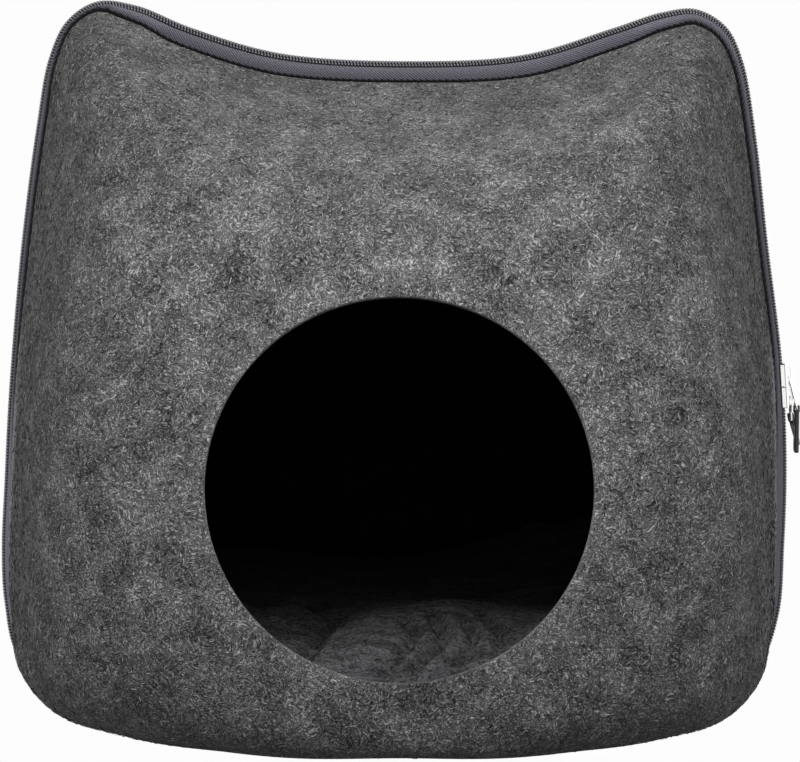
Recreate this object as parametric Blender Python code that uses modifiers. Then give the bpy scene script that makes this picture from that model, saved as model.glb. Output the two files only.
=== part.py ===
"""Felt cat cave: two moulded felt shells, zipped together along a ridge that runs over both ears.

Frame: +X to the viewer's right, the round entrance faces -Y, +Z up. The zip lies in the plane Y = 0
and the base stands on Z = 0. The tables below are in millimetres, and MM turns them into metres.
"""
import math

import bmesh
import bpy
import numpy as np
from mathutils import Matrix, Vector

MM = 0.001
COLLECTION = "felt_cat_cave"

# Felt and the round entrance, which is cut straight through along Y.
FELT = 3.5
ENTRANCE_X = 0.0
ENTRANCE_Z = 119.5
ENTRANCE_RADIUS = 83.6
BACK_DEPTH = 172.0

# Zip: a coil chain on the ridge, with one tape on each side that is sewn under the felt's edge.
CHAIN_HALF_WIDTH = 3.0
CHAIN_THICKNESS = 2.0
CHAIN_CROWN = 0.5
TAPE = 0.8
TAPE_SLIT = 1.2
TAPE_DROP = 2.9
TAPE_HEM = 5.0
CLEARANCE = 0.5
CHAIN_ENDS_AT_GAP = 6.5
TAPE_ENDS_AT_GAP = 3.5

# Sliders, head to head on the right-hand side. The outer plate rides over the chain, with a lip
# along each side, and a post at its head joins it to the inner plate.
UPPER_SLIDER_Z = 153.8
SLIDER_PITCH = 10.9
SLIDER_LENGTH = 10.4
SLIDER_WIDTH = 8.8
SLIDER_PLATE = 1.3
SLIDER_RISE = 0.4
SLIDER_BEVEL = 0.4
LIP_GAP = 0.4
LIP_REACH = 1.2
LIP_LENGTH = 9.2
LIP_SETBACK = 0.1
POST_START = 2.6
POST_END = 4.6
POST_WIDTH = 1.6
POST_TO_CHAIN = 0.3
INNER_DEPTH = 4.2
INNER_PLATE = 1.2
INNER_WIDTH = 5.2
INNER_LENGTH = 9.8
OVERLAP = 0.3
BRIDGE_LENGTH = 7.0
BRIDGE_WIDTH = 1.8
BRIDGE_HOLE = 1.8
BRIDGE_BAR = 1.0
BRIDGE_BEVEL = 0.3

# The pulls: a wire link through the slider's bridge and a flat tab on the link.
LINK_LENGTH = 16.6
LINK_WIDTH = 6.4
LINK_WIRE = 1.1
LINK_CORNER = 1.6
TAB_LENGTH = 21.0
TAB_WIDTH = 6.4
TAB_THICKNESS = 2.1
TAB_BEVEL = 0.5
HEAD_THICKNESS = 3.0
HEAD_TOP = 1.5
HEAD_LAP = 1.0
HEAD_SIDE_GAP = 0.35
EYE_GAP = 0.3
SHOULDER_GAP = 0.5
TAB_SLANT = 35.0
SLANT_START = 0.5
# How each pull hangs: the middle of its link's top bar along Y and Z from the slider's, the link's
# swing to the back and its lift out of the zip, and the tab's droop back towards it, in degrees.
# Columns: upside_down, bar_y, bar_z, swing, lift, droop.
PULLS = {
    "upper": (True, 0.0, -1.6, 0.0, 11.0, 15.0),
    "lower": (False, -0.6, -1.3, 50.0, 4.0, -7.0),
}

# The outline seen from the front, clockwise from the middle of the base. felt_in is how far the
# felt's edge lies inside it, and half_gap is how far that edge stands from the plane of the zip.
# Columns: x, z, felt_in, half_gap.
OUTLINE = (
    (-3.0, 0.0, 0.0, 0.15),
    (-73.0, 0.0, 0.0, 0.15),
    (-128.0, 0.5, 0.0, 0.15),
    (-162.0, 3.8, 0.5, 4.0),
    (-181.8, 19.0, 2.0, 9.0),
    (-187.8, 45.0, 3.4, 13.0),
    (-188.8, 70.0, 3.6, 13.0),
    (-187.2, 102.0, 3.6, 13.0),
    (-184.4, 147.5, 3.5, 13.0),
    (-177.7, 217.5, 3.6, 13.0),
    (-170.0, 272.5, 4.0, 13.0),
    (-164.2, 302.5, 4.0, 13.0),
    (-155.6, 320.0, 3.8, 13.0),
    (-141.5, 328.9, 4.2, 13.0),
    (-123.0, 327.0, 6.0, 13.0),
    (-98.0, 316.9, 8.5, 13.0),
    (-56.0, 304.8, 9.0, 13.0),
    (5.0, 301.1, 9.0, 13.0),
    (59.0, 304.2, 9.5, 13.0),
    (100.0, 316.5, 9.5, 13.0),
    (123.0, 323.9, 8.0, 13.0),
    (139.0, 325.3, 7.0, 13.0),
    (153.0, 317.2, 6.5, 13.0),
    (160.9, 301.5, 5.0, 13.0),
    (167.7, 264.5, 3.6, 13.0),
    (173.3, 217.5, 4.2, 13.0),
    (181.0, 157.5, 4.3, 13.0),
    (183.4, 111.0, 4.8, 13.0),
    (182.7, 72.5, 4.0, 13.0),
    (180.4, 38.5, 3.0, 12.0),
    (171.8, 15.5, 2.0, 8.0),
    (152.0, 3.0, 0.5, 4.0),
    (122.0, 0.5, 0.0, 0.15),
    (67.0, 0.0, 0.0, 0.15),
)
OUTLINE_STEP = 26.0

# The moulded shape of each shell, by direction around the entrance's axis. In each direction the
# felt leaves its edge at a slant from the Y axis and runs on, turns (a higher fullness makes a
# squarer turn), and comes back along the face to a rim at this depth, tilted from the upright.
# Columns: direction, slant, run, face_run, depth, tilt, fullness.
FRONT_SECTIONS = (
    (0.0, 5.0, 104.0, 86.0, 156.0, 10.0, 1.0),
    (35.0, 10.0, 92.0, 84.0, 148.0, 13.0, 1.0),
    (56.0, 20.0, 74.0, 74.0, 144.0, 16.0, 1.0),
    (90.0, 22.0, 60.0, 52.0, 143.0, 18.0, 1.0),
    (124.0, 20.0, 74.0, 74.0, 144.0, 16.0, 1.0),
    (145.0, 10.0, 92.0, 84.0, 148.0, 13.0, 1.0),
    (180.0, 5.0, 104.0, 86.0, 156.0, 10.0, 1.0),
    (204.0, 5.6, 105.0, 87.5, 161.5, 7.0, 0.93),
    (220.0, -2.7, 126.0, 85.0, 165.0, 5.0, 1.1),
    (238.0, -2.2, 141.0, 60.0, 168.0, 3.0, 1.8),
    (270.0, -0.5, 164.5, 39.0, 171.0, 1.5, 1.95),
    (302.0, -2.2, 141.0, 60.0, 168.0, 3.0, 1.8),
    (320.0, -2.7, 126.0, 85.0, 165.0, 5.0, 1.1),
    (336.0, 5.6, 105.0, 87.5, 161.5, 7.0, 0.93),
)
BACK_SECTIONS = (
    (0.0, 5.0, 104.0, 86.0, 166.0, 8.0, 1.0),
    (35.0, 10.0, 92.0, 84.0, 162.0, 12.0, 1.0),
    (56.0, 20.0, 74.0, 74.0, 160.0, 15.0, 1.0),
    (90.0, 22.0, 60.0, 60.0, 158.0, 18.0, 1.0),
    (124.0, 20.0, 74.0, 74.0, 160.0, 15.0, 1.0),
    (145.0, 10.0, 92.0, 84.0, 162.0, 12.0, 1.0),
    (180.0, 5.0, 104.0, 86.0, 166.0, 8.0, 1.0),
    (204.0, 5.6, 105.0, 87.5, 167.5, 6.0, 0.93),
    (220.0, -2.7, 126.0, 85.0, 169.0, 4.0, 1.1),
    (238.0, -2.2, 141.0, 60.0, 170.5, 2.0, 1.8),
    (270.0, -0.5, 164.5, 39.0, 171.5, 0.7, 1.95),
    (302.0, -2.2, 141.0, 60.0, 170.5, 2.0, 1.8),
    (320.0, -2.7, 126.0, 85.0, 169.0, 4.0, 1.1),
    (336.0, 5.6, 105.0, 87.5, 167.5, 6.0, 0.93),
)
SHELL_RINGS = 12
BACK_RINGS = 3
# The ears' corners fade into the felt: their run is evened out over this reach, fully above one
# height and not at all below another.
EAR_REACH = 42.0
EAR_FROM_Z = 70.0
EAR_FULL_Z = 190.0

# The plush cushion: a filled pad whose edge is pushed up along the walls.
CUSHION_X = -3.0
CUSHION_HALF_WIDTH = 156.0
CUSHION_HALF_DEPTH = 147.0
CUSHION_SQUARENESS = 2.1
CUSHION_UNDERSIDE = 4.0
CUSHION_MIDDLE = 48.0
CUSHION_STEPS = 40
# Its section from the underside round the edge to the top. Columns: share of the half width,
# share of the crest's height, share of the middle's height.
CUSHION_PROFILE = (
    (0.45, 0.0, 0.0),
    (0.68, 0.0, 0.0),
    (0.83, 0.08, 0.0),
    (0.93, 0.26, 0.0),
    (0.98, 0.56, 0.0),
    (0.95, 0.90, 0.0),
    (0.86, 1.00, 0.0),
    (0.74, 0.80, 0.18),
    (0.58, 0.42, 0.56),
    (0.38, 0.14, 0.86),
    (0.18, 0.02, 0.98),
)
# How high the edge is pushed up. Columns: direction, height.
CUSHION_CREST = (
    (0.0, 64.0),
    (45.0, 76.0),
    (90.0, 50.0),
    (135.0, 58.0),
    (180.0, 56.0),
    (225.0, 50.0),
    (270.0, 43.0),
    (315.0, 48.0),
)
# Troughs in the pad's top. Columns: x0, y0, x1, y1, half_width, depth.
CUSHION_FOLDS = (
    (-78.0, -132.0, -30.0, -62.0, 14.0, 9.0),
    (22.0, -128.0, 6.0, -74.0, 9.0, 4.0),
    (64.0, -118.0, 38.0, -66.0, 10.0, 4.5),
    (70.0, 26.0, 112.0, 78.0, 16.0, 7.0),
)


def fresh_collection(name):
    """Remove what the scene holds and open a collection for the model."""
    for old in list(bpy.data.objects):
        bpy.data.objects.remove(old, do_unlink=True)
    collection = bpy.data.collections.new(name)
    bpy.context.scene.collection.children.link(collection)
    return collection


def finish(name, color, roughness, metallic=0.0):
    """One Principled material."""
    material = bpy.data.materials.new(name)
    material.use_nodes = True
    shader = material.node_tree.nodes["Principled BSDF"]
    shader.inputs["Base Color"].default_value = (*color, 1.0)
    shader.inputs["Roughness"].default_value = roughness
    shader.inputs["Metallic"].default_value = metallic
    return material


def add_mesh(name, points, faces, material, collection, smooth_angle=40.0):
    """An object from points in millimetres and faces, smooth but for its sharp edges."""
    mesh = bpy.data.meshes.new(name)
    mesh.from_pydata([tuple(MM * value for value in point) for point in points], [], faces)
    mesh.shade_smooth()
    mesh.set_sharp_from_angle(angle=math.radians(smooth_angle))
    mesh.materials.append(material)
    part = bpy.data.objects.new(name, mesh)
    collection.objects.link(part)
    return part


def add_thickness(part, thickness):
    """Give an open surface its thickness on the inner side."""
    wall = part.modifiers.new("thickness", "SOLIDIFY")
    wall.thickness = thickness * MM
    wall.offset = -1.0
    wall.use_even_offset = True
    return wall


def ease(share):
    """0 to 1 with a level start and end."""
    return share * share * (3.0 - 2.0 * share)


def around(rows, direction):
    """The columns of a table at one direction, in degrees, by a smooth closed curve through its rows."""
    count = len(rows)
    direction %= 360.0
    index = max(i for i in range(count) if rows[i][0] <= direction)
    near = []
    for step in (-1, 0, 1, 2):
        turns, place = divmod(index + step, count)
        near.append(np.array(rows[place]) + np.eye(len(rows[0]))[0] * 360.0 * turns)
    before, start, end, after = near
    span = end[0] - start[0]
    leaving = (end - before) / (end[0] - before[0]) * span
    arriving = (after - start) / (after[0] - start[0]) * span
    share = (direction - start[0]) / span
    blend = (start + (end - start) * ease(share) + leaving * share * (1.0 - share) ** 2
             - arriving * share**2 * (1.0 - share))
    return blend[1:]


def mix(start, end, low, high, place):
    """The straight-line blend from start, at low, to end, at high."""
    return start + (end - start) * ((place - low) / (high - low))


def spline_point(points, knots, place):
    """A centripetal Catmull-Rom point between the two middle ones of four points."""
    first = [mix(points[i], points[i + 1], knots[i], knots[i + 1], place) for i in range(3)]
    second = [mix(first[i], first[i + 1], knots[i], knots[i + 2], place) for i in range(2)]
    return mix(second[0], second[1], knots[1], knots[2], place)


def outline_samples():
    """Points along the outline: x, z, felt_in, half_gap and the inward normal in x and z."""
    rows = np.array(OUTLINE)
    count = len(rows)
    samples = []
    for index in range(count):
        before, start, end, after = (rows[(index + step) % count] for step in (-1, 0, 1, 2))
        knots = [0.0]
        for a, b in ((before, start), (start, end), (end, after)):
            knots.append(knots[-1] + math.sqrt(math.dist(a[:2], b[:2])))
        steps = max(2, round(math.dist(start[:2], end[:2]) / OUTLINE_STEP))
        for step in range(steps):
            share = step / steps
            place = knots[1] + (knots[2] - knots[1]) * share
            point = spline_point((before, start, end, after), knots, place)
            extra = start + (end - start) * ease(share)
            samples.append((point[0], max(point[1], 0.0), extra[2], extra[3]))
    samples = np.array(samples)
    along = np.roll(samples[:, :2], -1, axis=0) - np.roll(samples[:, :2], 1, axis=0)
    along /= np.linalg.norm(along, axis=1)[:, None]
    inward = np.stack([along[:, 1], -along[:, 0]], axis=1)
    return np.hstack([samples, inward])


def with_cuts(samples, heights):
    """The same samples, with one more at each height on the right-hand side."""
    rows = list(samples)
    for height in heights:
        for index, (row, after) in enumerate(zip(rows, rows[1:])):
            if row[0] > 0.0 and row[1] > height > after[1]:
                rows.insert(index + 1, mix(row, after, row[1], after[1], height))
                break
    return np.array(rows)


def evened(samples, points, reach):
    """Points beside a closed outline, each averaged with its neighbours within about a reach."""
    steps = np.linalg.norm(np.roll(samples[:, :2], -1, axis=0) - samples[:, :2], axis=1)
    places = np.concatenate([[0.0], np.cumsum(steps)[:-1]])
    spans = (steps + np.roll(steps, 1)) / 2.0
    apart = np.abs(places[:, None] - places[None, :])
    apart = np.minimum(apart, steps.sum() - apart)
    weights = np.exp(-((apart / reach) ** 2)) * spans[None, :]
    return weights @ points / weights.sum(axis=1)[:, None]


def shell_corners(samples, sections, side):
    """The four control points of the felt's line from the zip to the rim, and its fullness."""
    corners = []
    for x, z, felt_in, half_gap, in_x, in_z in samples:
        radius = math.hypot(x - ENTRANCE_X, z - ENTRANCE_Z)
        out_x, out_z = (x - ENTRANCE_X) / radius, (z - ENTRANCE_Z) / radius
        direction = math.degrees(math.atan2(out_z, out_x))
        slant, run, face_run, depth, tilt, fullness = around(sections, direction)
        slant, tilt = math.radians(slant), math.radians(tilt)
        edge = np.array([x + felt_in * in_x, side * half_gap, z + felt_in * in_z])
        leaving = np.array([math.sin(slant) * in_x, side * math.cos(slant), math.sin(slant) * in_z])
        rim = np.array([out_x, 0.0, out_z]) * ENTRANCE_RADIUS + (ENTRANCE_X, side * depth, ENTRANCE_Z)
        facing = np.array([math.cos(tilt) * out_x, -side * math.sin(tilt), math.cos(tilt) * out_z])
        corners.append((edge, edge + run * leaving, rim + face_run * facing, rim, fullness))
    edges, runs, faces, rims, fullness = (np.array(column) for column in zip(*corners))
    share = np.clip((edges[:, 2:] - EAR_FROM_Z) / (EAR_FULL_Z - EAR_FROM_Z), 0.0, 1.0)
    runs += (evened(samples, runs, EAR_REACH) - runs) * ease(share)
    return edges, runs, faces, rims, fullness[:, None]


def shell_grid(samples, sections, side):
    """The felt's outer face: for each outline sample, points from the zip's edge to the rim."""
    edges, runs, faces, rims, fullness = shell_corners(samples, sections, side)
    rings = []
    for share in np.linspace(0.0, 1.0, SHELL_RINGS + 1):
        rest = 1.0 - share
        edge_pull, rim_pull = rest**3, share**3
        run_pull, face_pull = 3 * fullness * rest**2 * share, 3 * fullness * rest * share**2
        ring = edge_pull * edges + run_pull * runs + face_pull * faces + rim_pull * rims
        ring /= edge_pull + run_pull + face_pull + rim_pull
        ring[:, 2] = np.maximum(ring[:, 2], 0.0)
        rings.append(ring)
    return np.stack(rings, axis=1)


def closed_grid(grid, depth):
    """The same grid, carried on from its rim to a level middle at this depth."""
    rims = grid[:, -1]
    middle = np.array([ENTRANCE_X, depth, ENTRANCE_Z])
    before = grid[:, -2]
    slopes = (before[:, 1] - rims[:, 1]) / np.linalg.norm((before - rims)[:, [0, 2]], axis=1)
    rise = depth - rims[:, 1]
    cubic = slopes * ENTRANCE_RADIUS + 2.0 * rise
    square = -rise - cubic
    rings = []
    for step in range(1, BACK_RINGS + 1):
        share = 1.0 - step / BACK_RINGS
        ring = middle + (rims - middle) * share
        ring[:, 1] = depth + square * share**2 + cubic * share**3
        rings.append(ring)
    return np.concatenate([grid, np.stack(rings, axis=1)], axis=1)


def grid_faces(lines, points_a_line, closed, flipped):
    """Quads between neighbouring lines of a grid."""
    faces = []
    for i in range(lines if closed else lines - 1):
        for j in range(points_a_line - 1):
            a, b = i * points_a_line + j, (i + 1) % lines * points_a_line + j
            face = (a, b, b + 1, a + 1)
            faces.append(face[::-1] if flipped else face)
    return faces


def felt_shell(name, grid, side, material, collection):
    """One moulded half. The front one is open at the entrance, the back one closes at its middle."""
    lines, count = grid.shape[:2]
    if side < 0:
        points = list(grid.reshape(-1, 3))
        faces = grid_faces(lines, count, True, True)
    else:
        count -= 1
        points = list(grid[:, :count].reshape(-1, 3)) + [grid[0, -1]]
        faces = grid_faces(lines, count, True, False)
        last = len(points) - 1
        rim = [i * count + count - 1 for i in range(lines)]
        faces += [(rim[i], rim[(i + 1) % lines], last) for i in range(lines)]
    shell = add_mesh(name, points, faces, material, collection)
    add_thickness(shell, FELT)
    return shell


def edge_normals(grid, side):
    """Outward normals of the felt along its zip edge."""
    edge = grid[:, 0]
    around_zip = np.roll(edge, -1, axis=0) - np.roll(edge, 1, axis=0)
    normals = np.cross(around_zip, grid[:, 1] - edge) * side
    return normals / np.linalg.norm(normals, axis=1)[:, None]


def zip_tape(name, samples, grid, side, material, collection):
    """A woven tape from under the chain to under the felt's edge, where it is sewn on."""
    normals = edge_normals(grid, side)
    under = FELT + CLEARANCE
    points = []
    lines = 0
    for row, line, normal in zip(samples, grid, normals):
        x, z, _, half_gap, in_x, in_z = row
        if half_gap < TAPE_ENDS_AT_GAP:
            continue
        lines += 1
        hem = (line[1] - line[0]) / np.linalg.norm(line[1] - line[0]) * TAPE_HEM
        for reach in (TAPE_SLIT, CHAIN_HALF_WIDTH + CLEARANCE):
            points.append((x + TAPE_DROP * in_x, side * reach, z + TAPE_DROP * in_z))
        points.append(line[0] - under * normal)
        points.append(line[0] + hem - under * normal)
    tape = add_mesh(name, points, grid_faces(lines, 4, False, side < 0), material, collection)
    add_thickness(tape, TAPE)
    return tape


def zip_chain(name, rows, material, collection):
    """A run of the closed coil chain on the ridge, slightly crowned."""
    points = []
    for x, z, _, _, in_x, in_z in rows:
        for y, drop in ((-CHAIN_HALF_WIDTH, CHAIN_CROWN), (0.0, 0.0), (CHAIN_HALF_WIDTH, CHAIN_CROWN)):
            points.append((x + drop * in_x, y, z + drop * in_z))
    chain = add_mesh(name, points, grid_faces(len(rows), 3, False, False), material, collection)
    add_thickness(chain, CHAIN_THICKNESS)
    return chain


def block(name, low, high, bevel, collection):
    """A box between two corners, in millimetres, with rounded edges."""
    shape = bmesh.new()
    bmesh.ops.create_cube(shape, size=1.0)
    size = [MM * (b - a) for a, b in zip(low, high)]
    middle = [MM * (a + b) / 2.0 for a, b in zip(low, high)]
    bmesh.ops.scale(shape, vec=size, verts=shape.verts)
    bmesh.ops.translate(shape, vec=middle, verts=shape.verts)
    if bevel:
        bmesh.ops.bevel(shape, geom=shape.edges, offset=bevel * MM, segments=2, profile=0.5,
                        affect="EDGES")
    mesh = bpy.data.meshes.new(name)
    shape.to_mesh(mesh)
    shape.free()
    piece = bpy.data.objects.new(name, mesh)
    collection.objects.link(piece)
    return piece


def rod(name, radius, length, collection):
    """A cylinder along Y, centred on the origin, in millimetres."""
    shape = bmesh.new()
    turn = Matrix.Rotation(math.radians(90.0), 4, "X")
    bmesh.ops.create_cone(shape, cap_ends=True, segments=16, radius1=radius * MM,
                          radius2=radius * MM, depth=length * MM, matrix=turn)
    mesh = bpy.data.meshes.new(name)
    shape.to_mesh(mesh)
    shape.free()
    piece = bpy.data.objects.new(name, mesh)
    collection.objects.link(piece)
    return piece


def combined_mesh(name, base, steps, material):
    """The mesh of a block after Boolean steps, each an operation and a second block."""
    for operation, other in steps:
        boolean = base.modifiers.new(other.name, "BOOLEAN")
        boolean.operation = operation
        boolean.object = other
        other.hide_render = True
        other.display_type = "WIRE"
    bpy.context.view_layer.update()
    mesh = bpy.data.meshes.new_from_object(base.evaluated_get(bpy.context.evaluated_depsgraph_get()))
    mesh.name = name
    mesh.materials.clear()
    mesh.materials.append(material)
    mesh.shade_smooth()
    mesh.set_sharp_from_angle(angle=math.radians(40.0))
    bpy.data.objects.remove(base, do_unlink=True)
    return mesh


def slider_mesh(cutters, material):
    """The slider: outer plate with its lips and bridge, a post, and the plate inside the zip."""
    half_width, half_length, half_lip = SLIDER_WIDTH / 2.0, SLIDER_LENGTH / 2.0, LIP_LENGTH / 2.0
    half_bridge, half_bar, half_post = BRIDGE_LENGTH / 2.0, BRIDGE_WIDTH / 2.0, POST_WIDTH / 2.0
    half_inner, half_inner_length = INNER_WIDTH / 2.0, INNER_LENGTH / 2.0
    top = SLIDER_RISE + SLIDER_PLATE
    hole_top = top + BRIDGE_HOLE
    joint = SLIDER_RISE + OVERLAP
    lip_in, lip_out = CHAIN_HALF_WIDTH + LIP_GAP, half_width - LIP_SETBACK
    inner_top = -INNER_DEPTH
    # Columns: operation, name, low corner, high corner, bevel.
    pieces = (
        ("UNION", "lip_front", (-LIP_REACH, -lip_out, -half_lip), (joint, -lip_in, half_lip), 0.0),
        ("UNION", "lip_back", (-LIP_REACH, lip_in, -half_lip), (joint, lip_out, half_lip), 0.0),
        ("UNION", "post", (inner_top - OVERLAP, -half_post, POST_START), (joint, half_post, POST_END), 0.0),
        ("UNION", "inner_plate", (inner_top - INNER_PLATE, -half_inner, -half_inner_length),
         (inner_top, half_inner, half_inner_length), 0.0),
        ("UNION", "bridge", (top - OVERLAP, -half_bar, -half_bridge),
         (hole_top + BRIDGE_BAR, half_bar, half_bridge), BRIDGE_BEVEL),
        ("DIFFERENCE", "bridge_hole", (top, -BRIDGE_WIDTH, BRIDGE_BAR - half_bridge),
         (hole_top, BRIDGE_WIDTH, half_bridge - BRIDGE_BAR), 0.0),
    )
    plate = block("slider_plate", (SLIDER_RISE, -half_width, -half_length),
                  (top, half_width, half_length), SLIDER_BEVEL, cutters)
    steps = [(operation, block(name, low, high, bevel, cutters))
             for operation, name, low, high, bevel in pieces]
    return combined_mesh("slider", plate, steps, material)


def tab_mesh(cutters, material):
    """The pull's tab: a flat plate with a slanted end, and a head that holds the link's bar."""
    half_width, half_thick, half_head = TAB_WIDTH / 2.0, TAB_THICKNESS / 2.0, HEAD_THICKNESS / 2.0
    shoulder = -LINK_WIRE / 2.0 - SHOULDER_GAP
    plate = block("tab_plate", (-half_thick, -half_width, -TAB_LENGTH),
                  (half_thick, half_width, shoulder), TAB_BEVEL, cutters)
    head_side = LINK_WIDTH / 2.0 - LINK_WIRE - HEAD_SIDE_GAP
    head = block("tab_head", (-half_head, -head_side, shoulder - HEAD_LAP),
                 (half_head, head_side, HEAD_TOP), TAB_BEVEL, cutters)
    eye = rod("tab_eye", LINK_WIRE / 2.0 + EYE_GAP, TAB_WIDTH, cutters)
    corner = block("tab_slant", (-TAB_THICKNESS, 0.0, -TAB_WIDTH), (TAB_THICKNESS, 2.0 * TAB_WIDTH, 0.0),
                   0.0, cutters)
    corner.rotation_euler = (math.radians(TAB_SLANT), 0.0, 0.0)
    corner.location = (0.0, SLANT_START * MM, -TAB_LENGTH * MM)
    steps = [("UNION", head), ("DIFFERENCE", eye), ("DIFFERENCE", corner)]
    return combined_mesh("pull_tab", plate, steps, material)


def link_curve(name, material, collection):
    """The pull's wire link: a rounded rectangle that hangs from its top bar."""
    half = (LINK_WIDTH - LINK_WIRE) / 2.0 - LINK_CORNER
    low = LINK_WIRE - LINK_LENGTH + LINK_CORNER
    # Each corner's centre, and the angle at which its quarter turn starts.
    corners = ((half, -LINK_CORNER, 90.0), (half, low, 0.0), (-half, low, -90.0),
               (-half, -LINK_CORNER, -180.0))
    outline = []
    for y, z, start in corners:
        for turned in (0.0, 30.0, 60.0, 90.0):
            angle = math.radians(start - turned)
            outline.append((0.0, y + LINK_CORNER * math.cos(angle), z + LINK_CORNER * math.sin(angle)))
    curve = bpy.data.curves.new(name, "CURVE")
    curve.dimensions = "3D"
    curve.bevel_depth = LINK_WIRE / 2.0 * MM
    curve.bevel_resolution = 2
    spline = curve.splines.new("POLY")
    spline.points.add(len(outline) - 1)
    for point, place in zip(spline.points, outline):
        point.co = (*(MM * value for value in place), 1.0)
    spline.use_cyclic_u = True
    curve.materials.append(material)
    link = bpy.data.objects.new(name, curve)
    collection.objects.link(link)
    return link


def ridge_seat(name, samples, height, collection):
    """An empty on the ridge at a height on the right: X out of the zip, Y back, Z up along it."""
    for row, after in zip(samples, samples[1:]):
        if row[0] > 0.0 and row[1] > height >= after[1]:
            x = mix(row[0], after[0], row[1], after[1], height)
            lean = math.atan2(row[0] - after[0], row[1] - after[1])
            seat = bpy.data.objects.new(name, None)
            seat.location = (x * MM, 0.0, height * MM)
            seat.rotation_euler = (0.0, lean, 0.0)
            collection.objects.link(seat)
            return seat
    raise ValueError("no ridge at this height")


def slider_and_pull(suffix, seat, kit, collection):
    """A slider on its seat, with the wire link through its bridge and the tab on the link."""
    upside_down, bar_y, bar_z, swing, lift, droop = PULLS[suffix]
    slider = bpy.data.objects.new("slider_" + suffix, kit["slider"])
    slider.parent = seat
    slider.rotation_euler = (math.pi if upside_down else 0.0, 0.0, 0.0)
    collection.objects.link(slider)
    link = link_curve("pull_link_" + suffix, kit["nickel"], collection)
    link.parent = seat
    bar_out = SLIDER_RISE + SLIDER_PLATE + BRIDGE_HOLE / 2.0
    turn = Matrix.Rotation(math.radians(swing), 4, "X") @ Matrix.Rotation(math.radians(-lift), 4, "Y")
    link.location = (bar_out * MM, bar_y * MM, bar_z * MM)
    link.rotation_euler = turn.to_euler()
    tab = bpy.data.objects.new("pull_tab_" + suffix, kit["tab"])
    tab.parent = link
    tab.location = (0.0, 0.0, (LINK_WIRE - LINK_LENGTH) * MM)
    tab.rotation_euler = (0.0, math.radians(droop), 0.0)
    collection.objects.link(tab)


def trough_depth(x, y):
    """How far the cushion's folds sink its top at a point."""
    depth = 0.0
    for x0, y0, x1, y1, half_width, sink in CUSHION_FOLDS:
        along = Vector((x1 - x0, y1 - y0))
        offset = Vector((x - x0, y - y0))
        share = min(max(offset.dot(along) / along.length_squared, 0.0), 1.0)
        distance = (offset - along * share).length
        depth += sink * math.exp(-((distance / half_width) ** 2))
    return depth


def cushion(material, collection):
    """The pad: a flat underside, drawn-in sides, a raised edge and a soft hollow top."""
    points = []
    height = CUSHION_MIDDLE - CUSHION_UNDERSIDE
    power = 2.0 / CUSHION_SQUARENESS
    for step in range(CUSHION_STEPS):
        angle = 2.0 * math.pi * step / CUSHION_STEPS
        cosine, sine = math.cos(angle), math.sin(angle)
        edge_x = CUSHION_HALF_WIDTH * math.copysign(abs(cosine) ** power, cosine)
        edge_y = CUSHION_HALF_DEPTH * math.copysign(abs(sine) ** power, sine)
        (crest,) = around(CUSHION_CREST, math.degrees(angle))
        for reach, of_crest, of_middle in CUSHION_PROFILE:
            x, y = edge_x * reach, edge_y * reach
            z = CUSHION_UNDERSIDE + of_crest * (crest - CUSHION_UNDERSIDE) + of_middle * height
            if of_middle > 0.0:
                z -= trough_depth(x, y)
            points.append((CUSHION_X + x, y, z))
    rings = len(CUSHION_PROFILE)
    faces = grid_faces(CUSHION_STEPS, rings, True, False)
    bottom, top = len(points), len(points) + 1
    points.append((CUSHION_X, 0.0, CUSHION_UNDERSIDE))
    points.append((CUSHION_X, 0.0, CUSHION_MIDDLE - trough_depth(0.0, 0.0)))
    for step in range(CUSHION_STEPS):
        here, there = step * rings, (step + 1) % CUSHION_STEPS * rings
        faces.append((there, here, bottom))
        faces.append((here + rings - 1, there + rings - 1, top))
    return add_mesh("cushion", points, faces, material, collection, smooth_angle=60.0)


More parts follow.
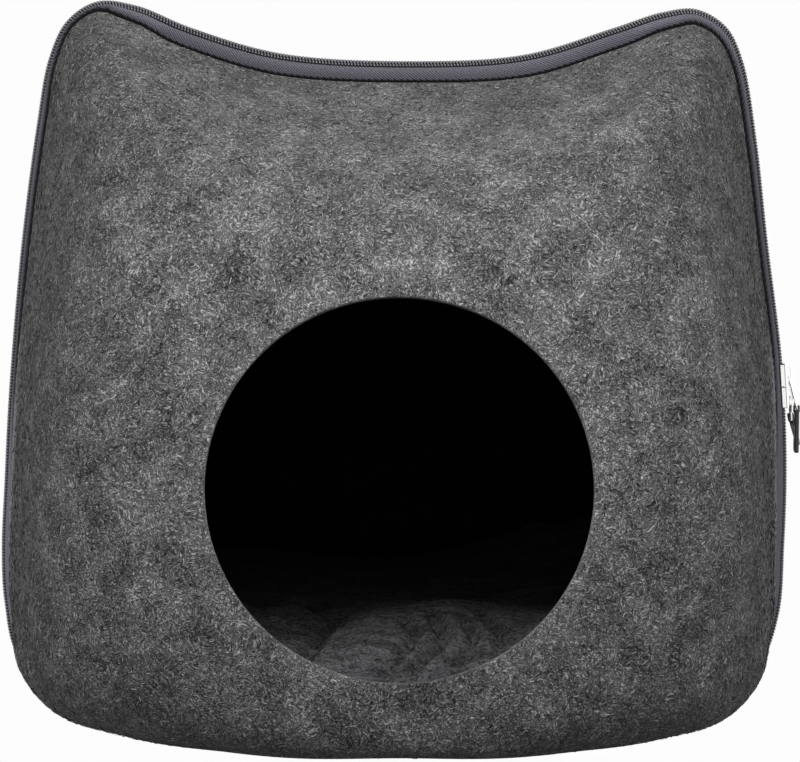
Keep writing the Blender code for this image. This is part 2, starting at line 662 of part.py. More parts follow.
def build():
    """Make the whole cave."""
    collection = fresh_collection(COLLECTION)
    cutters = bpy.data.collections.new("cutters")
    bpy.context.scene.collection.children.link(cutters)
    felt = finish("anthracite_felt", (0.085, 0.085, 0.088), 0.95)
    tape_cloth = finish("zip_tape_cloth", (0.10, 0.10, 0.125), 0.85)
    coil = finish("zip_coil_nylon", (0.06, 0.06, 0.07), 0.5)
    nickel = finish("nickel", (0.82, 0.81, 0.78), 0.22, 1.0)
    black_tab = finish("black_tab", (0.02, 0.02, 0.021), 0.45)
    plush = finish("dark_plush", (0.05, 0.05, 0.052), 1.0)

    slider_heights = {"upper": UPPER_SLIDER_Z, "lower": UPPER_SLIDER_Z - SLIDER_PITCH}
    chain_inset = POST_START - POST_TO_CHAIN
    upper_end = slider_heights["upper"] - chain_inset
    lower_end = slider_heights["lower"] + chain_inset
    samples = with_cuts(outline_samples(), (upper_end, lower_end))
    front = shell_grid(samples, FRONT_SECTIONS, -1.0)
    back = closed_grid(shell_grid(samples, BACK_SECTIONS, 1.0), BACK_DEPTH)
    felt_shell("front_shell", front, -1.0, felt, collection)
    felt_shell("back_shell", back, 1.0, felt, collection)
    zip_tape("zip_tape_front", samples, front, -1.0, tape_cloth, collection)
    zip_tape("zip_tape_back", samples, back, 1.0, tape_cloth, collection)

    zipped = samples[samples[:, 3] >= CHAIN_ENDS_AT_GAP]
    left_or_above = (zipped[:, 0] < 0.0) | (zipped[:, 1] > upper_end - CLEARANCE)
    right_and_below = (zipped[:, 0] > 0.0) & (zipped[:, 1] < lower_end + CLEARANCE)
    zip_chain("zip_chain_upper", zipped[left_or_above], coil, collection)
    zip_chain("zip_chain_lower", zipped[right_and_below], coil, collection)

    kit = {"slider": slider_mesh(cutters, nickel), "tab": tab_mesh(cutters, black_tab), "nickel": nickel}
    for suffix, height in slider_heights.items():
        seat = ridge_seat(suffix + "_seat", samples, height, collection)
        slider_and_pull(suffix, seat, kit, collection)
    cushion(plush, collection)


build()
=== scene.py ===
import math

import bmesh
import bpy
import numpy as np
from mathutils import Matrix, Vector


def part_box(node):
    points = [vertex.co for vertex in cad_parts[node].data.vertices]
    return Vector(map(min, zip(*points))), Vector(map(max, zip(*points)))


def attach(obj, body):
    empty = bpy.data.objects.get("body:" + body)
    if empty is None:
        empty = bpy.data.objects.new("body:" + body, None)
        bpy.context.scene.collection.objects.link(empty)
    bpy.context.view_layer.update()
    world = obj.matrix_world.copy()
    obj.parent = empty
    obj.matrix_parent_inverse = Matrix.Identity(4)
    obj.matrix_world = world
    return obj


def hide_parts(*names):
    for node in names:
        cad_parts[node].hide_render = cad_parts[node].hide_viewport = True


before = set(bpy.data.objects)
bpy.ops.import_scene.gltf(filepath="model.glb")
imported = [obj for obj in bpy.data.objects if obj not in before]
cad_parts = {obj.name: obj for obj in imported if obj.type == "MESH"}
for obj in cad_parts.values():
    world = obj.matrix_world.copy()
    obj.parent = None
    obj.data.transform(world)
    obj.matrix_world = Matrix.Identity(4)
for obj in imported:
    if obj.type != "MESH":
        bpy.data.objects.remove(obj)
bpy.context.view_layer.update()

# Lengths in the tables are in millimetres.
MM = 0.001

# ---- The studio ------------------------------------------------------------------------------
# Not part of the cave: a pale floor and surroundings that look white to the camera, with soft
# light from all round. Softboxes stand before the forehead, on either side and high up before the
# entrance, and two smaller ones beside the side ones light the zip.

CAMERA_PLACE, CAMERA_TARGET = (0.3, -1790.1, 338.6), (0.3, 0.0, 150.4)
CAMERA_LENS, CAMERA_SENSOR, CAMERA_SIGHT = 171.25, 36.0, 50.0
# Columns: place, target, size, watts.
SOFTBOXES = {
    "forehead": ((10.0, -430.0, 372.0), (0.0, -90.0, 216.0), 240.0, 1.66),
    "left": ((-1500.0, -800.0, 330.0), (0.0, 0.0, 130.0), 800.0, 6.8),
    "right": ((1600.0, -680.0, 330.0), (0.0, 0.0, 130.0), 800.0, 5.8),
    "entrance": ((-160.0, -500.0, 1300.0), (0.0, -90.0, 50.0), 720.0, 60.0),
    "zip_left": ((-1500.0, -700.0, 330.0), (0.0, 0.0, 150.0), 600.0, 11.5),
    "zip_right": ((1500.0, -700.0, 330.0), (0.0, 0.0, 150.0), 600.0, 4.5),
}
WHITE, FLOOR_GREY = (1.0, 1.0, 1.0, 1.0), (0.1, 0.1, 0.1, 1.0)
SEEN_LEVEL, AMBIENT = 0.98, 0.66
FLOOR_RADIUS, FLOOR_SIDES, FLOOR_DROP = 6000.0, 64, 0.4


def node(tree, kind, inputs=None, **settings):
    """Add a node: each input takes a plain value or another node's output."""
    added = tree.nodes.new(kind)
    for key, value in settings.items():
        setattr(added, key, value)
    for key, value in (inputs or {}).items():
        if isinstance(value, bpy.types.NodeSocket):
            tree.links.new(value, added.inputs[key])
        else:
            added.inputs[key].default_value = value
    return added


def maths(tree, operation, first, second=0.0, third=0.0):
    """A Math node's output."""
    return node(tree, "ShaderNodeMath", {0: first, 1: second, 2: third},
                operation=operation).outputs[0]


def empty_material(name):
    """A material with nothing but its output node."""
    material = bpy.data.materials.new(name)
    material.use_nodes = True
    tree = material.node_tree
    tree.nodes.clear()
    return material, tree, tree.nodes.new("ShaderNodeOutputMaterial")


def in_scene(name, data):
    """An object in the scene for a mesh, a light or a camera."""
    added = bpy.data.objects.new(name, data)
    bpy.context.scene.collection.objects.link(added)
    return added


def mesh_from(name, points, faces=()):
    """A mesh from points in millimetres and faces."""
    mesh = bpy.data.meshes.new(name)
    mesh.from_pydata([tuple(MM * value for value in point) for point in points], [], faces)
    mesh.update()
    return mesh


def aimed(thing, place, target):
    """Put a camera or light at a place, looking at a target, both in millimetres."""
    placed = in_scene(thing.name, thing)
    placed.location = Vector(place) * MM
    placed.rotation_euler = (Vector(target) - Vector(place)).to_track_quat("-Z", "Y").to_euler()
    return placed


def softbox(name, place, target, size, watts):
    """A square white area light."""
    lamp = bpy.data.lights.new(name, "AREA")
    lamp.size = size * MM
    lamp.energy = watts
    lamp_object = aimed(lamp, place, target)
    lamp_object.visible_camera = False
    return lamp_object


def white_where_seen(tree, real, white_kind):
    """White where the camera or a mirror-like surface looks, and real for light on its way."""
    path = node(tree, "ShaderNodeLightPath")
    seen = maths(tree, "MAXIMUM", path.outputs["Is Camera Ray"], path.outputs["Is Glossy Ray"])
    white = node(tree, white_kind, {"Color": WHITE, "Strength": SEEN_LEVEL})
    return node(tree, "ShaderNodeMixShader", {0: seen, 1: real.outputs[0],
                                              2: white.outputs[0]}).outputs[0]


camera = bpy.data.cameras.new("camera")
camera.lens = CAMERA_LENS
camera.sensor_width = CAMERA_SENSOR
camera.clip_end = CAMERA_SIGHT
bpy.context.scene.camera = aimed(camera, CAMERA_PLACE, CAMERA_TARGET)
softboxes = {name: softbox(name, *row) for name, row in SOFTBOXES.items()}

white_floor, tree, output = empty_material("white_floor")
bounce = node(tree, "ShaderNodeBsdfDiffuse", {"Color": FLOOR_GREY})
tree.links.new(white_where_seen(tree, bounce, "ShaderNodeEmission"), output.inputs["Surface"])
turns = np.linspace(0.0, 2.0 * math.pi, FLOOR_SIDES, endpoint=False)
floor = in_scene("floor", mesh_from("floor", [
    (FLOOR_RADIUS * math.cos(turn), FLOOR_RADIUS * math.sin(turn), -FLOOR_DROP)
    for turn in turns], [tuple(range(FLOOR_SIDES))]))
floor.data.materials.append(white_floor)

world = bpy.data.worlds.new("surroundings")
world.use_nodes = True
bpy.context.scene.world = world
tree = world.node_tree
tree.nodes.clear()
dim = node(tree, "ShaderNodeBackground", {"Color": WHITE, "Strength": AMBIENT})
node(tree, "ShaderNodeOutputWorld",
     {"Surface": white_where_seen(tree, dim, "ShaderNodeBackground")})
bpy.context.scene.view_settings.view_transform = "Standard"

# ---- The two felt shells ----------------------------------------------------------------------
# The front and the back half are each moulded from one sheet of 3.5 mm needle-punched felt,
# mixed from light and dark fibres. The front one has the round entrance cut through it.

FELT = 3.5
ENTRANCE_X, ENTRANCE_Z, ENTRANCE_RADIUS = 0.0, 119.5, 83.6
# The cut entrance is a little wider than high.
ENTRANCE_OVAL = np.array((1.016, 1.0, 0.990))
BACK_DEPTH = 172.0
# The outline seen from the front, clockwise from the middle of the base. felt_in is how far the
# felt's edge lies inside it, half_gap how far that edge stands from the plane of the zip.
# Columns: x, z, felt_in, half_gap.
OUTLINE = (
    (-3.0, 0.0, 0.0, 0.15), (-73.0, 0.0, 0.0, 0.15), (-128.0, 0.5, 0.0, 0.15),
    (-162.0, 3.8, 0.5, 4.0), (-181.8, 19.0, 2.4, 9.0), (-187.8, 45.0, 4.4, 13.0),
    (-188.8, 70.0, 4.6, 13.0), (-187.2, 102.0, 4.2, 13.0), (-184.4, 147.5, 3.9, 13.0),
    (-177.7, 217.5, 5.0, 13.0), (-170.0, 272.5, 5.3, 13.0), (-164.2, 302.5, 4.9, 13.0),
    (-155.6, 320.0, 4.3, 13.0), (-141.5, 328.9, 4.4, 13.0), (-123.0, 327.0, 7.4, 13.0),
    (-98.0, 316.9, 9.3, 13.0), (-56.0, 304.8, 9.7, 13.0), (5.0, 301.1, 9.4, 13.0),
    (59.0, 304.2, 9.9, 13.0), (100.0, 316.5, 9.3, 13.0), (123.0, 323.9, 8.0, 13.0),
    (139.0, 325.3, 7.0, 13.0), (153.0, 317.2, 6.9, 13.0), (160.9, 301.5, 6.2, 13.0),
    (167.7, 264.5, 6.0, 13.0), (173.3, 217.5, 5.5, 13.0), (181.0, 157.5, 5.2, 13.0),
    (183.4, 111.0, 5.9, 13.0), (182.7, 72.5, 5.2, 13.0), (180.4, 38.5, 4.2, 12.0),
    (171.8, 15.5, 2.4, 8.0), (152.0, 3.0, 0.5, 4.0), (122.0, 0.5, 0.0, 0.15),
    (67.0, 0.0, 0.0, 0.15),
)
# The moulded shape by direction around the entrance's axis: the felt leaves its edge at a slant
# and runs on, turns, and comes back along the face to a rim at this depth, tilted from upright.
# The directions run from straight up over the left to straight down, and the right is the same.
# Columns: direction, slant, run, face_run, depth, tilt, fullness.
FRONT_SECTIONS = (
    (90.0, 22.0, 60.0, 52.0, 143.0, 18.0, 1.0), (124.0, 20.0, 74.0, 74.0, 144.0, 16.0, 1.0),
    (145.0, 15.0, 92.0, 84.0, 148.0, 13.0, 1.0), (180.0, 11.0, 104.0, 86.0, 156.0, 10.0, 1.0),
    (204.0, 5.6, 105.0, 87.5, 161.5, 7.0, 0.93), (220.0, -2.7, 126.0, 85.0, 165.0, 5.0, 1.1),
    (238.0, -2.2, 141.0, 60.0, 168.0, 3.0, 1.8), (270.0, -0.5, 164.5, 39.0, 171.0, 1.5, 1.95),
)
BACK_SECTIONS = (
    (90.0, 22.0, 60.0, 60.0, 158.0, 18.0, 1.0), (124.0, 20.0, 74.0, 74.0, 160.0, 15.0, 1.0),
    (145.0, 10.0, 92.0, 84.0, 162.0, 12.0, 1.0), (180.0, 5.0, 104.0, 86.0, 166.0, 8.0, 1.0),
    (204.0, 5.6, 105.0, 87.5, 167.5, 6.0, 0.93), (220.0, -2.7, 126.0, 85.0, 169.0, 4.0, 1.1),
    (238.0, -2.2, 141.0, 60.0, 170.5, 2.0, 1.8), (270.0, -0.5, 164.5, 39.0, 171.5, 0.7, 1.95),
)
# Over the ears the runs are evened out within this reach, the more the higher up.
EAR_REACH, EAR_FROM_Z, EAR_FULL_Z = 42.0, 70.0, 190.0
# Points along the outline every so many millimetres, and rings from the zip to the rim and on.
SHELL_STEP, SHELL_RINGS, BACK_RINGS = 6.0, 48, 18
# The cut edge's rounded profile. Columns: beyond the edge, below the outer face.
CUT_EDGE = ((-0.9, 0.0), (-0.3, 0.12), (-0.04, 0.5), (0.0, 1.1), (0.0, 2.4), (-0.04, 3.0),
            (-0.3, 3.38), (-0.9, FELT))
# No fibres stand on what lies this close to the floor.
BARE_BELOW = 2.0
# Along the zip the felt's cut edge frays below the first height, and no longer above the second:
# into a lighter colour over the narrow strip, partly real fraying and partly a painted highlight
# where the edge catches the light, and into a haze of finer ends, seen as sheen, over the wide
# one. The distance from the edge is counted over so many rings of points.
FUZZ_HIGHLIGHT_BELOW, PLAIN_ABOVE = 130.0, 190.0
FUZZ_HIGHLIGHT_EDGE, HAZY_EDGE, HAZY_RINGS = 14.0, 32.0, 10
FUZZ_HIGHLIGHT_COVERS, HAZE_SHEEN, FELT_SHEEN = 0.55, 0.6, 0.1
# The felt's mix: how many of each pattern there are to the metre, and how strongly it shades.
CLUMPS, CLUMP_SHADE = 62.0, 1.65
CLOUDS, CLOUD_SHADE = 16.0, 0.2
GRAINS, GRAIN_SHADE = 1250.0, 3.2
# Four layers of fibres, all bent alike. Columns: the pattern's shift, share of fibres per metre.
# Another layer's value, over the first range here, breaks a layer's lines up, and the clumps let
# the dark ones show over the second.
FIBRE_LAYERS = ((0.0, 1.0), (3.1, 1.22), (7.7, 1.45), (12.9, 0.86))
BENDS, BEND_REACH = 90.0, 0.009
BROKEN_UP, DARK_IN_CLUMPS = (0.44, 0.56), (0.68, 0.42)
SECOND_LIGHT, THIRD_LIGHT = 0.8, 0.55
# The darkest cloud's level, and the power by which clouds dim the light fibres.
DARKEST_CLOUD, LIGHT_IN_CLOUDS = 0.15, 1.5
# The size each half is cut to before moulding, and its area with the corners rounded off.
FRONT_FLAT, FRONT_AREA = (0.60, 0.52), 0.19
BACK_FLAT, BACK_AREA = (0.60, 0.54), 0.22
FLOAT = "NodeSocketFloat"


def ease(share):
    """0 to 1 with a level start and end."""
    return share * share * (3.0 - 2.0 * share)


def both_sides(rows):
    """A table of directions over the left with its mirror image over the right, in order."""
    mirrored = [((180.0 - direction) % 360.0, *rest) for direction, *rest in rows[1:-1]]
    return sorted([*rows, *mirrored])


def around(rows, direction):
    """A table's columns at one direction, in degrees, by a smooth closed curve through it."""
    count = len(rows)
    direction %= 360.0
    index = max(i for i in range(count) if rows[i][0] <= direction)
    near = []
    for step in (-1, 0, 1, 2):
        laps, place = divmod(index + step, count)
        near.append(np.array(rows[place]) + np.eye(len(rows[0]))[0] * 360.0 * laps)
    before, start, end, after = near
    span = end[0] - start[0]
    leaving = (end - before) / (end[0] - before[0]) * span
    arriving = (after - start) / (after[0] - start[0]) * span
    share = (direction - start[0]) / span
    curve = (start + (end - start) * ease(share) + leaving * share * (1.0 - share) ** 2
             - arriving * share**2 * (1.0 - share))
    return curve[1:]


def mix(start, end, low, high, place):
    """The straight-line blend from start, at low, to end, at high."""
    return start + (end - start) * ((place - low) / (high - low))


def spline_point(points, knots, place):
    """A centripetal Catmull-Rom point between the two middle ones of four points."""
    first = [mix(points[i], points[i + 1], knots[i], knots[i + 1], place) for i in range(3)]
    second = [mix(first[i], first[i + 1], knots[i], knots[i + 2], place) for i in range(2)]
    return mix(second[0], second[1], knots[1], knots[2], place)


def outline_samples(spacing):
    """Points along the outline: x, z, felt_in, half_gap and the inward normal in x and z."""
    rows = np.array(OUTLINE)
    count = len(rows)
    samples = []
    for index in range(count):
        before, start, end, after = (rows[(index + step) % count] for step in (-1, 0, 1, 2))
        knots = [0.0]
        for a, b in ((before, start), (start, end), (end, after)):
            knots.append(knots[-1] + math.sqrt(math.dist(a[:2], b[:2])))
        steps = max(2, round(math.dist(start[:2], end[:2]) / spacing))
        for share in np.arange(steps) / steps:
            place = knots[1] + (knots[2] - knots[1]) * share
            point = spline_point((before, start, end, after), knots, place)
            extra = start + (end - start) * ease(share)
            samples.append((point[0], max(point[1], 0.0), extra[2], extra[3]))
    samples = np.array(samples)
    along = np.roll(samples[:, :2], -1, axis=0) - np.roll(samples[:, :2], 1, axis=0)
    along /= np.linalg.norm(along, axis=1)[:, None]
    return np.hstack([samples, np.stack([along[:, 1], -along[:, 0]], axis=1)])


def evened(samples, points, reach):
    """Points beside a closed outline, each averaged with its neighbours within a reach."""
    steps = np.linalg.norm(np.roll(samples[:, :2], -1, axis=0) - samples[:, :2], axis=1)
    places = np.concatenate([[0.0], np.cumsum(steps)[:-1]])
    spans = (steps + np.roll(steps, 1)) / 2.0
    apart = np.abs(places[:, None] - places[None, :])
    apart = np.minimum(apart, steps.sum() - apart)
    weights = np.exp(-((apart / reach) ** 2)) * spans[None, :]
    return weights @ points / weights.sum(axis=1)[:, None]


def shell_corners(samples, sections, side):
    """The four control points of the felt's line from the zip to the rim, and its fullness."""
    sections = both_sides(sections)
    corners = []
    for x, z, felt_in, half_gap, in_x, in_z in samples:
        radius = math.hypot(x - ENTRANCE_X, z - ENTRANCE_Z)
        out_x, out_z = (x - ENTRANCE_X) / radius, (z - ENTRANCE_Z) / radius
        direction = math.degrees(math.atan2(out_z, out_x))
        slant, run, face_run, depth, tilt, fullness = around(sections, direction)
        slant, tilt = math.radians(slant), math.radians(tilt)
        edge = np.array([x + felt_in * in_x, side * half_gap, z + felt_in * in_z])
        leaving = np.array([math.sin(slant) * in_x, side * math.cos(slant),
                            math.sin(slant) * in_z])
        rim = (np.array([out_x, 0.0, out_z]) * ENTRANCE_RADIUS * ENTRANCE_OVAL
               + (ENTRANCE_X, side * depth, ENTRANCE_Z))
        facing = np.array([math.cos(tilt) * out_x, -side * math.sin(tilt),
                           math.cos(tilt) * out_z])
        corners.append((edge, edge + run * leaving, rim + face_run * facing, rim, fullness))
    edges, runs, faces, rims, fullness = (np.array(column) for column in zip(*corners))
    share = np.clip((edges[:, 2:] - EAR_FROM_Z) / (EAR_FULL_Z - EAR_FROM_Z), 0.0, 1.0)
    runs += (evened(samples, runs, EAR_REACH) - runs) * ease(share)
    return edges, runs, faces, rims, fullness[:, None]


def shell_grid(samples, sections, side):
    """The felt's outer face: for each outline sample, points from the zip's edge to the rim."""
    edges, runs, faces, rims, fullness = shell_corners(samples, sections, side)
    rings = []
    for share in np.linspace(0.0, 1.0, SHELL_RINGS + 1):
        rest = 1.0 - share
        edge_pull, rim_pull = rest**3, share**3
        run_pull, face_pull = 3 * fullness * rest**2 * share, 3 * fullness * rest * share**2
        ring = edge_pull * edges + run_pull * runs + face_pull * faces + rim_pull * rims
        ring /= edge_pull + run_pull + face_pull + rim_pull
        ring[:, 2] = np.maximum(ring[:, 2], 0.0)
        rings.append(ring)
    return np.stack(rings, axis=1)


def closed_grid(grid, depth):
    """The same grid, carried on from its rim to a level middle at this depth."""
    rims, before = grid[:, -1], grid[:, -2]
    middle = np.array([ENTRANCE_X, depth, ENTRANCE_Z])
    slopes = (before[:, 1] - rims[:, 1]) / np.linalg.norm((before - rims)[:, [0, 2]], axis=1)
    rise = depth - rims[:, 1]
    cubic = slopes * ENTRANCE_RADIUS + 2.0 * rise
    square = -rise - cubic
    rings = []
    for step in range(1, BACK_RINGS + 1):
        share = 1.0 - step / BACK_RINGS
        ring = middle + (rims - middle) * share
        ring[:, 1] = depth + square * share**2 + cubic * share**3
        rings.append(ring)
    return np.concatenate([grid, np.stack(rings, axis=1)], axis=1)


def unit(vectors):
    """Vectors with a length of 1."""
    return vectors / np.maximum(np.linalg.norm(vectors, axis=-1), 1e-9)[..., None]


def grid_normals(grid, side):
    """Outward normals of a grid that closes round the outline."""
    around_zip = np.roll(grid, -1, axis=0) - np.roll(grid, 1, axis=0)
    towards_rim = np.gradient(grid, axis=1)
    return unit(np.cross(around_zip, towards_rim) * side)


def cut_edge(ends, outwards, normals):
    """Rings of points over the cut edge of the felt, from its outer face to its inner one."""
    return np.stack([ends + beyond * outwards - below * normals for beyond, below in CUT_EDGE],
                    axis=1)


def ring_faces(lines, points_a_line, closed_lines, closed_rings, flipped):
    """Quads between neighbouring lines of points, which may close in either direction."""
    faces = []
    for i in range(lines if closed_lines else lines - 1):
        for j in range(points_a_line if closed_rings else points_a_line - 1):
            after = (j + 1) % points_a_line
            a, b = i * points_a_line, (i + 1) % lines * points_a_line
            face = (a + j, b + j, b + after, a + after)
            faces.append(face[::-1] if flipped else face)
    return faces


def piece_from(name, points, faces, materials):
    """A smooth object from points in millimetres and faces, at the origin."""
    piece = in_scene(name, mesh_from(name, points, faces))
    piece.data.shade_smooth()
    for finish in materials:
        piece.data.materials.append(finish)
    return piece


def store(mesh, name, values, kind="FLOAT"):
    """Give each of a mesh's points a number or a vector."""
    attribute = mesh.attributes.new(name, kind, "POINT")
    field = "vector" if kind == "FLOAT_VECTOR" else "value"
    attribute.data.foreach_set(field, np.asarray(values, np.float32).ravel())


def felt_shell(name, grid, side, materials):
    """One moulded half with its full thickness: outer face, cut edges and inner face.

    Its attribute outer marks the face that takes the fibres, and from_cut gives the distance
    from the zip's cut edge. The inner face has the second material: the same felt painted
    near-black, as painted shade for the unlit inside of the cave.
    """
    is_front = side < 0
    normals = grid_normals(grid, side)
    zip_cut = cut_edge(grid[:, 0], unit(grid[:, 0] - grid[:, 1]), normals[:, 0])[:, ::-1]
    rim_cut = cut_edge(grid[:, -1], unit(grid[:, -1] - grid[:, -2]), normals[:, -1])
    outer, inner = grid[:, 1:-1], (grid - FELT * normals)[:, -2:0:-1]
    strips = (zip_cut, outer, rim_cut, inner) if is_front else (inner, zip_cut, outer)
    loops = np.concatenate(strips, axis=1)
    lines, count = loops.shape[:2]
    points = loops.reshape(-1, 3)
    faces = ring_faces(lines, count, True, is_front, is_front)
    if not is_front:
        # The back's two faces each close in a middle point.
        points = np.vstack([points, grid[0, -1], grid[0, -1] - (0.0, FELT, 0.0)])
        for i in range(lines):
            here, there = i * count, (i + 1) % lines * count
            faces.append((here + count - 1, there + count - 1, len(points) - 2))
            faces.append((there, here, len(points) - 1))
    shell = piece_from(name, points, faces, materials)

    cut_from = 0 if is_front else inner.shape[1]
    cut_to = cut_from + len(CUT_EDGE)
    outer_to = cut_to + outer.shape[1]
    rings = np.arange(len(points)) % count
    is_outer = (rings >= cut_to - 1) & (rings < outer_to)
    is_inner = rings >= outer_to + len(CUT_EDGE) - 1 if is_front else rings < inner.shape[1]
    from_cut = np.full(count, HAZY_EDGE * 2.0)
    from_cut[cut_from:cut_to] = 0.0
    paces = np.linalg.norm(np.diff(grid[:, :HAZY_RINGS], axis=1), axis=2).mean(axis=0)
    from_cut[cut_to:cut_to + len(paces)] = np.cumsum(paces)
    distances = from_cut[rings]
    if not is_front:
        is_outer[-2:], is_inner[-2:] = (True, False), (False, True)
        distances[-2:] = from_cut.max()
    store(shell.data, "from_cut", distances * MM)
    store(shell.data, "outer", is_outer & (points[:, 2] > BARE_BELOW))
    # The inner face takes the second material, painted near-black as painted shade.
    for polygon in shell.data.polygons:
        polygon.material_index = int(is_inner[list(polygon.vertices)].all())
    return shell


def node_group(kind, name, inputs, outputs):
    """A node group and its two ends: sockets have a name, a type and, going in, a value."""
    group = bpy.data.node_groups.new(name, kind)
    for label, socket_type, value in inputs:
        socket = group.interface.new_socket(label, in_out="INPUT", socket_type=socket_type)
        if value is not None:
            socket.default_value = value
    for label, socket_type in outputs:
        group.interface.new_socket(label, in_out="OUTPUT", socket_type=socket_type)
    return group, group.nodes.new("NodeGroupInput"), group.nodes.new("NodeGroupOutput")


def times(tree, first, second):
    """The product of two numbers."""
    return maths(tree, "MULTIPLY", first, second)


def centred(tree, value, strength):
    """A value from 0 to 1 as one around 0, times a strength."""
    return times(tree, maths(tree, "SUBTRACT", value, 0.5), strength)


def ranged(tree, value, low, high, to_low=0.0, to_high=1.0):
    """A value eased from one range to another."""
    return node(tree, "ShaderNodeMapRange",
                {"Value": value, "From Min": low, "From Max": high, "To Min": to_low,
                 "To Max": to_high}, interpolation_type="SMOOTHSTEP").outputs["Result"]


def blended(tree, share, first, second, blend_type="MIX"):
    """A share of the second colour over the first one."""
    return node(tree, "ShaderNodeMix", {"Factor": share, 6: first, 7: second}, data_type="RGBA",
                blend_type=blend_type).outputs[2]


def shaded(tree, colour, level):
    """A colour times a level."""
    level = node(tree, "ShaderNodeCombineColor", {"Red": level, "Green": level, "Blue": level})
    return blended(tree, 1.0, colour, level.outputs[0], "MULTIPLY")


def object_place(tree):
    """The place on the cave that a pattern is read at."""
    return node(tree, "ShaderNodeTexCoord").outputs["Object"]


def noise(tree, place, scale, detail=0.0, roughness=0.5):
    """A cloudy value from 0 to 1, with so many clouds per metre."""
    return node(tree, "ShaderNodeTexNoise", {"Vector": place, "Scale": scale, "Detail": detail,
                                             "Roughness": roughness}).outputs["Fac"]


def moved_by(tree, texture, reach):
    """A noise texture's colour as a push of up to half a reach in each direction."""
    push = node(tree, "ShaderNodeVectorMath", {0: texture.outputs["Color"], 1: (0.5, 0.5, 0.5)},
                operation="SUBTRACT")
    return node(tree, "ShaderNodeVectorMath", {0: push.outputs[0], "Scale": reach},
                operation="SCALE").outputs[0]


def vector_sum(tree, first, second):
    """The sum of two vectors."""
    return node(tree, "ShaderNodeVectorMath", {0: first, 1: second}, operation="ADD").outputs[0]


def stored(tree, name):
    """A number that a mesh's points carry."""
    return node(tree, "ShaderNodeAttribute", attribute_name=name).outputs["Fac"]


def relief(tree, height, strength, distance):
    """The surface's normal with a fine relief of this height and depth in it."""
    return node(tree, "ShaderNodeBump", {"Height": height, "Strength": strength,
                                         "Distance": distance}).outputs[0]


def finish_with(tree, output, inputs):
    """End a material with a Principled shader."""
    shader = node(tree, "ShaderNodeBsdfPrincipled", inputs)
    tree.links.new(shader.outputs[0], output.inputs["Surface"])


def heather_group():
    """Curly light and dark fibres and the cloudy mix of needle-punched felt, as masks."""
    group, given, made = node_group("ShaderNodeTree", "heather_fibres", (
        ("Fibres per metre", FLOAT, 430.0), ("Fibre width", FLOAT, 0.07), ("Clouds", FLOAT, 1.0)),
        (("Light", FLOAT), ("Dark", FLOAT), ("Cloud", FLOAT), ("Height", FLOAT)))
    place = object_place(group)
    bend = node(group, "ShaderNodeTexNoise", {"Vector": place, "Scale": BENDS, "Detail": 1.0})
    place = vector_sum(group, place, moved_by(group, bend, BEND_REACH))
    raw = []
    for shift, share in FIBRE_LAYERS:
        layer = vector_sum(group, place, (shift, -shift, 0.7 * shift))
        raw.append(noise(group, layer, times(group, given.outputs["Fibres per metre"], share)))

    def strands(value, gate):
        """Thin curly lines where one noise crosses its middle, broken up by another."""
        offset = maths(group, "ABSOLUTE", maths(group, "SUBTRACT", value, 0.5))
        line = ranged(group, offset, 0.0, given.outputs["Fibre width"], 1.0, 0.0)
        return times(group, line, ranged(group, gate, *BROKEN_UP))

    first, second = strands(raw[0], raw[1]), strands(raw[1], raw[2])
    third, fourth = strands(raw[2], raw[3]), strands(raw[3], raw[0])
    light = maths(group, "MAXIMUM", first, times(group, second, SECOND_LIGHT))
    light = maths(group, "MAXIMUM", light, times(group, third, THIRD_LIGHT))
    clumps = noise(group, place, CLUMPS, detail=2.0, roughness=0.6)
    cloud = maths(group, "ADD", centred(group, clumps, CLUMP_SHADE),
                  centred(group, noise(group, place, CLOUDS, detail=2.0), CLOUD_SHADE))
    grain = centred(group, noise(group, place, GRAINS, detail=1.0), GRAIN_SHADE)
    cloud = maths(group, "ADD", times(group, cloud, given.outputs["Clouds"]), grain)
    dark = times(group, fourth, ranged(group, clumps, *DARK_IN_CLUMPS))
    height = maths(group, "ADD", light, grain)
    for label, value in (("Light", light), ("Dark", dark), ("Cloud", cloud), ("Height", height)):
        group.links.new(value, made.inputs[label])
    return group


def grey(level, tint=(1.0, 1.0, 1.0)):
    """A neutral colour with a slight tint."""
    return (level * tint[0], level * tint[1], level * tint[2], 1.0)


def fray_and_highlight_share(tree, width):
    """How worn the felt's edge is, which also sets its painted highlight: 1 at the cut edge on the
    sides, and 0 further in than a width.
    """
    height = node(tree, "ShaderNodeSeparateXYZ", {0: object_place(tree)}).outputs["Z"]
    return times(tree, ranged(tree, stored(tree, "from_cut"), width, 0.0),
                 ranged(tree, height, PLAIN_ABOVE * MM, FUZZ_HIGHLIGHT_BELOW * MM))


def fray_and_highlight_group():
    """The lighter strip along the zip's cut edge, as a mask: partly real fraying, partly painted
    highlight.
    """
    group, given, made = node_group("ShaderNodeTree", "frayed_edge_and_highlight",
                                    (("Width", FLOAT, FUZZ_HIGHLIGHT_EDGE * MM),), (("Fray_and_highlight", FLOAT),))
    group.links.new(fray_and_highlight_share(group, given.outputs["Width"]), made.inputs["Fray_and_highlight"])
    return group


def felt_sheen(tree):
    """The felt's sheen, stronger where loose ends haze its edge."""
    haze = fray_and_highlight_share(tree, HAZY_EDGE * MM)
    return maths(tree, "MULTIPLY_ADD", haze, HAZE_SHEEN, FELT_SHEEN)
